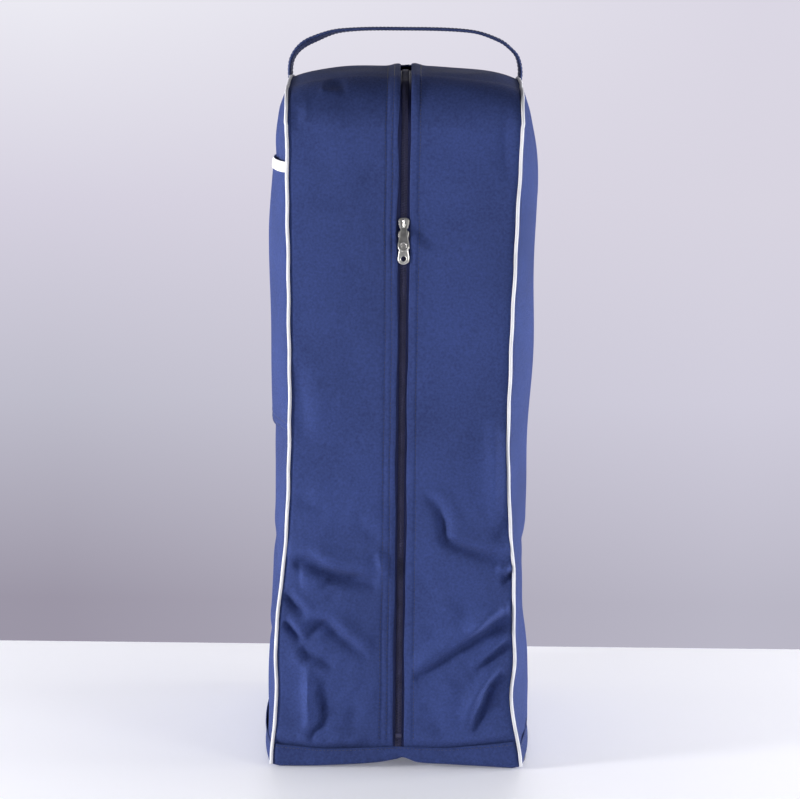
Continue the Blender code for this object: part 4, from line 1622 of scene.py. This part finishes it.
@dataclass
class Hardware:
    """A slider with its bail, and its pull."""

    wardrobe: Wardrobe
    word: str

    def __post_init__(self) -> None:
        """Read the places of the slider and its pull from the frame."""
        self.low, self.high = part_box("slider_" + self.word)
        joint = next(j for j in frame["joints"] if j["name"] == f"pull_{self.word}_lift")
        self.pivot = Vector(joint["pos_m"])
        tip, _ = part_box("pull_" + self.word)
        self.lean = math.atan2(self.pivot.y - tip.y - 0.0006, self.pivot.z - tip.z)
        self.length = (self.pivot - Vector((self.pivot.x, tip.y, tip.z))).length
        self.half = (self.high.x - self.low.x) / 2.0
        self.tall = self.high.z - self.low.z

    def gather(self, name: str, parts: Sequence[bpy.types.Object], body: str, node: str) -> None:
        """Join parts into one piece of nickel and hang it on its body."""
        deselect()
        for part in parts:
            part.select_set(True)
        bpy.context.view_layer.objects.active = parts[0]
        bpy.ops.object.join()
        piece = bpy.context.object
        finish_mesh(piece, name, [self.wardrobe.nickel], 42.0)
        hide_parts(node)
        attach(piece, body)

    def wing(self, name: str, y: float, shrink: float) -> bpy.types.Object:
        """One wing of the slider: shouldered at the top, narrowing to the closed end."""
        h, t = self.half - shrink, self.tall / 2.0 - shrink
        outline = [(-0.28 * h, t), (-0.62 * h, 0.94 * t), (-0.93 * h, 0.74 * t), (-h, 0.42 * t),
                   (-0.98 * h, 0.0),
                   (-0.86 * h, -0.52 * t), (-0.78 * h, -0.86 * t), (-0.62 * h, -t)]
        outline += [(-x, z) for x, z in reversed(outline)]
        plate = flat_plate(name, [outline[::-1]], 0.00105, 0.00034)
        plate.location = (0.0, y, (self.low.z + self.high.z) / 2.0)
        return settle(plate)

    def bail(self) -> list[bpy.types.Object]:
        """The bridge that the pull hangs from, and the pull's cross bar seat."""
        middle = (self.low.z + self.high.z) / 2.0
        face = self.low.y + 0.0012
        turns = np.linspace(0.0, math.pi, 14)
        reach = self.pivot.y - 0.00135 - face
        path = np.stack([np.zeros(14), face + reach * np.sin(turns) ** 0.8, middle + 0.0036 * np.cos(turns)],
                        1)
        path[:, 1] = np.minimum(path[:, 1], face + 0.001)
        bridge = cord_mesh("bridge", path, 0.00062, self.wardrobe.nickel, 3)
        move_vertices(bridge, vertices(bridge) * np.array([1.45, 1.0, 1.0]))
        lips = []
        for sign in (-1.0, 1.0):
            z = np.linspace(-0.12, 0.30, 8) * self.tall + middle
            x = sign * (self.half - 0.0006 + 0.0 * z)
            lip = cord_mesh("lip", np.stack([x, np.full(8, face + 0.0030), z], 1), 0.00055,
                            self.wardrobe.nickel, 2)
            lips.append(lip)
        return [bridge, *lips]

    def pull(self) -> None:
        """The pull: a tapered plate with a raised rim, a window round the bail and a round hole."""
        end = -self.length
        sides = [(0.0021, 0.00070), (0.0026, 0.0001), (0.0027, -0.0042), (0.0031, -0.0070), (0.0040, -0.0125),
                 (0.0048, -0.0175), (0.0051, -0.0202)]
        outline = smooth_line([(-x, z) for x, z in sides], 3)
        arc = [(-0.0051 * math.cos(t),
                -0.0202 + (end + 0.0202) * math.sin(t)) for t in np.linspace(0, math.pi, 17)[1:-1]]
        outline = outline + arc + [(-x, z) for x, z in reversed(outline)]
        window = ring_of(0.0, -0.0021, 0.0014, 0.0019, 16, 0.5)
        hole = ring_of(0.0, -0.0198, 0.0022, 0.0022)
        plate = flat_plate("plate", [outline, window, hole], 0.00100, 0.00030)
        inner = [(x * 0.86, -0.0124 + (z + 0.0124) * 0.93) for x, z in outline]
        rim_path = np.array([(x, -0.00055, z) for x, z in inner if z < -0.0048])
        rim = cord_mesh("rim", rim_path, 0.00042, self.wardrobe.nickel, 2)
        eye_path = np.array([(x, -0.00052, z) for x,
                             z in ring_of(0.0, -0.0198, 0.0027, 0.0027) + [(0.0027, -0.0198)]])
        eye = cord_mesh("eye", eye_path, 0.00032, self.wardrobe.nickel, 2)
        bar = cord_mesh("bar", np.array([(-0.0021, 0.0, 0.0), (0.0021, 0.0, 0.0)]), 0.00062,
                        self.wardrobe.nickel, 3)
        for part in (plate, rim, eye, bar):
            part.matrix_world = Matrix.Translation(self.pivot) @ Matrix.Rotation(-self.lean, 4, "X")
            settle(part)
        self.gather(f"slider_pull_{self.word}", [plate, rim, eye, bar], self.word + "_pull",
                    "pull_" + self.word)

    def build(self) -> None:
        """Make the slider and the pull."""
        front = self.wing("front_wing", self.low.y + 0.0041, 0.0)
        back = self.wing("back_wing", self.high.y - 0.0005, 0.0001)
        deselect()
        post_middle = ((self.low.y + 0.0041) + (self.high.y - 0.0005)) / 2.0
        bpy.ops.mesh.primitive_cylinder_add(vertices=20, radius=0.0010, depth=0.0030,
                                            rotation=(math.pi / 2, 0.0, 0.0),
                                            location=(0.0, post_middle, self.high.z - 0.0020))
        post = settle(bpy.context.object)
        self.gather(f"slider_body_{self.word}", [front, back, post, *self.bail()], self.word + "_slider",
                    "slider_" + self.word)
        self.pull()
        log.info("slider and pull, %s", self.word)


@dataclass
class Handle:
    """The webbing handle, one strap sewn into both top seams."""

    wardrobe: Wardrobe
    width: float = 0.025
    thickness: float = 0.0029
    across: Curve = Curve(((0.0, -0.1020), (0.055, -0.1038), (0.10, -0.1020), (0.15, -0.0953),
                           (0.21, -0.0842),
                           (0.31, -0.0587), (0.5, -0.0015), (0.69, 0.0585), (0.79, 0.0840), (0.85, 0.0950),
                           (0.90, 0.1012), (0.945, 0.1036), (1.0, 0.1012)))
    rise: Curve = Curve(((0.0, 0.5985), (0.055, 0.6135), (0.10, 0.6250), (0.15, 0.6345), (0.21, 0.6415),
                         (0.31, 0.6500), (0.5, 0.6522), (0.69, 0.6505), (0.79, 0.6428), (0.85, 0.6350),
                         (0.90, 0.6270), (0.945, 0.6140), (1.0, 0.5985)))

    def __post_init__(self) -> None:
        """Read the strap's middle depth and pivot height from the frame."""
        low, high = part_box("handle_strap")
        self.y = (low.y + high.y) / 2.0
        self.pivot_z = next(j["pos_m"][2] for j in frame["joints"] if j["name"] == "handle_swing")

    def surface(self, w: Array, v: Array, out: float = 0.0) -> Array:
        """Point on the strap's outer face.

        Args:
            w: Place across the width, from -1 to 1.
            v: Share of the length from the left end.
            out: Distance above the face.

        Returns:
            Points, one row each.
        """
        step = 0.002
        x, z = self.across(v), self.rise(v)
        dx = self.across(v + step) - self.across(v - step)
        dz = self.rise(v + step) - self.rise(v - step)
        size = np.hypot(dx, dz) + 1e-9
        nx, nz = -dz / size, dx / size
        twist = 9.0 * np.exp(-((v - 0.20) / 0.09) ** 2) - 3.0 * np.exp(-((v - 0.8) / 0.1) ** 2)
        roll = np.radians(twist + 2.0)
        half = self.width / 2.0
        lift = -w * half * np.sin(roll) + out
        return np.stack([x + nx * lift, self.y + w * half * np.cos(roll), z + nz * lift], 1)

    def place(self, u: Array, v: Array) -> Array:
        """Lay the strap as a closed band with rounded edges."""
        angle = 2.0 * math.pi * u
        w = np.sign(np.cos(angle)) * np.abs(np.cos(angle)) ** 0.35
        deep = np.sign(np.sin(angle)) * np.abs(np.sin(angle)) ** 0.7 * self.thickness / 2.0
        base = self.surface(w, v)
        over = self.surface(w, v, 0.001)
        return base + (over - base) * (deep / 0.001)[:, None]

    def build(self) -> None:
        """Make the strap and its stitch rows."""
        strap = Cloth("handle_webbing", 36, 150, self.place, (0.055, 0.30), (self.wardrobe.webbing,), 0.0,
                      np.array([0.0, self.y, 0.60]), closed=True).lay()
        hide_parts("handle_strap", "handle_anchor_left", "handle_anchor_right")
        v = np.linspace(0.03, 0.97, 300)
        rows = []
        for w in (-0.78, 0.78):
            for face in (1.0, -1.0):
                path = self.surface(np.full_like(v, w), v, face * self.thickness * 0.46)
                inner = self.surface(np.full_like(v, w), v)
                rows.append((path, (path - inner) / np.linalg.norm(path - inner, axis=1)[:, None]))
        stitches = sew("handle_stitches", rows, self.wardrobe.thread, 0.0034, 0.0025, 0.0006)
        for piece in (strap, stitches):
            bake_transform(piece)
        log.info("handle")


# ---------------------------------------------------------------------------------------------
# Studio
# ---------------------------------------------------------------------------------------------


@dataclass
class Studio:
    """Camera, soft light, a pale table and a grey backdrop."""

    distance: float = 2.40
    aside: float = -0.0017
    height: float = 0.70
    tilt: float = 8.69
    roll: float = 0.62
    lens: float = 124.97
    table_back: float = 0.3175

    def camera(self, front_y: float) -> None:
        """Place the camera before the zipped front."""
        data = bpy.data.cameras.new("camera")
        data.lens = self.lens
        data.sensor_width = 36.0
        camera = bpy.data.objects.new("camera", data)
        bpy.context.scene.collection.objects.link(camera)
        pitch = Matrix.Rotation(math.radians(90.0 - self.tilt), 4, "X")
        turn = pitch @ Matrix.Rotation(math.radians(self.roll), 4, "Z")
        camera.matrix_world = Matrix.Translation((self.aside, front_y - self.distance, self.height)) @ turn
        bpy.context.scene.camera = camera

    def softbox(self, name: str, place: tuple[float, float, float], aim: tuple[float, float, float],
                size: float,
                watts: float, tall: float, colour: tuple[float, float, float] = (1.0, 1.0, 1.0)) -> None:
        """One rectangular soft light."""
        data = bpy.data.lights.new(name, "AREA")
        data.shape = "RECTANGLE"
        data.size, data.size_y = size, tall
        data.energy = watts
        data.color = colour
        light = bpy.data.objects.new(name, data)
        bpy.context.scene.collection.objects.link(light)
        light.location = place
        light.rotation_euler = (Vector(aim) - Vector(place)).to_track_quat("-Z", "Y").to_euler()

    def table(self) -> None:
        """A pale table top that ends behind the bag, square to the view."""
        deselect()
        bpy.ops.mesh.primitive_plane_add(size=1.0)
        table = bpy.context.object
        half, deep = 3.0, 3.4
        skew = math.tan(math.radians(self.roll))
        lift = half * skew * 0.2
        corners = np.array([(-half, -deep, 0.0), (half, -deep, 0.0),
                            (-half, self.table_back + lift, 0.0), (half, self.table_back - lift, 0.0)])
        move_vertices(table, corners)
        n = Nodes("table_white")
        where = n.add("TexCoord").outputs["Object"]
        tone = n.ramp(n.noise(where, 3.0, 2.0), ((0.0, (0.88, 0.88, 0.91)), (1.0, (0.91, 0.91, 0.94))))
        bounce = {"Emission_Color": (0.93, 0.93, 1.0, 1.0), "Emission_Strength": 0.17}
        finish_mesh(table, "table_top", [n.dress(tone, 0.42, **bounce)])

    def backdrop(self) -> None:
        """A grey glowing wall far behind, with painted shade: darker towards the bottom and the left."""
        deselect()
        bpy.ops.mesh.primitive_plane_add(size=1.0)
        wall = bpy.context.object
        far, half = 4.2, 9.0
        corners = np.array([(-half, far, -4.0), (half, far, -4.0), (-half, far, 6.0), (half, far, 6.0)])
        move_vertices(wall, corners)
        n = Nodes("backdrop_grey")
        where = n.add("SeparateXYZ")
        n.join(n.add("TexCoord").outputs["Object"], where, 0)
        height = n.math("MULTIPLY_ADD", where.outputs["Z"], 1.0 / 1.6)
        height.node.inputs[2].default_value = 0.594
        # The ramps paint the fall of light over the wall, as painted shade towards the bottom and the left.
        left = n.ramp(height, ((0.07, (0.33, 0.305, 0.38)), (0.386, (0.52, 0.51, 0.60)),
                               (0.69, (0.67, 0.64, 0.745)),
                               (0.98, (0.83, 0.82, 0.89))))
        right = n.ramp(height, ((0.07, (0.49, 0.474, 0.565)), (0.386, (0.63, 0.61, 0.716)),
                                (0.69, (0.686, 0.658, 0.752)),
                                (0.98, (0.708, 0.68, 0.776))))
        side = n.math("MULTIPLY_ADD", where.outputs["X"], 0.6, clamp=True)
        side.node.inputs[2].default_value = 0.5
        colour = n.mix(side, left, right)
        glow = n.add("Emission", in_Strength=1.0)
        n.join(colour, glow, "Color")
        output = n.tree.nodes["Material Output"]
        n.join(glow.outputs[0], output, "Surface")
        finish_mesh(wall, "backdrop", [n.material])

    def build(self, front_y: float) -> None:
        """Set up the whole studio."""
        self.camera(front_y)
        world = bpy.data.worlds.new("studio")
        bpy.context.scene.world = world
        world.use_nodes = True
        sky = world.node_tree.nodes["Background"]
        sky.inputs["Color"].default_value = (0.90, 0.92, 1.0, 1.0)
        sky.inputs["Strength"].default_value = 0.13
        bpy.context.scene.view_settings.view_transform = "Standard"
        self.softbox("softbox_left", (-1.50, 0.10, 0.34), (0.0, 0.02, 0.30), 0.8, 9.0, 0.66)
        self.softbox("softbox_right", (1.50, 0.00, 0.34), (0.0, -0.02, 0.30), 0.8, 22.0, 0.66)
        self.softbox("key_front_left", (-1.60, -0.74, 0.42), (0.0, -0.14, 0.30), 0.35, 28.5, 0.55)
        self.softbox("fill_front_right", (1.5, -1.5, 0.58), (0.0, -0.14, 0.36), 0.6, 12.0, 0.6)
        self.softbox("softbox_rear", (0.4, 2.2, 1.2), (0.0, 0.0, 0.30), 1.2, 5.0, 1.0)
        self.table()
        self.backdrop()


def main() -> None:
    """Build the bag and its studio, and report each piece."""
    logging.basicConfig(level=logging.INFO, format="%(name)s: %(message)s")
    shape, wardrobe = BagShape(), Wardrobe()
    swing = Swing(shape)
    Studio().build(shape.front_y)
    FrontStrip(shape, wardrobe, swing, Side.LEFT, LEFT_FOLDS).build()
    FrontStrip(shape, wardrobe, swing, Side.RIGHT, RIGHT_FOLDS).build()
    for side in Side:
        SidePanel(shape, wardrobe, side).build()
        Piping(shape, wardrobe, side).build()
    Pocket(shape, wardrobe).build()
    BackPanel(shape, wardrobe).build()
    Base(shape, wardrobe).build()
    ZipRun(shape, wardrobe, swing).build()
    for word in ("upper", "lower"):
        Hardware(wardrobe, word).build()
    Handle(wardrobe).build()


if __name__ == "__main__":
    main()
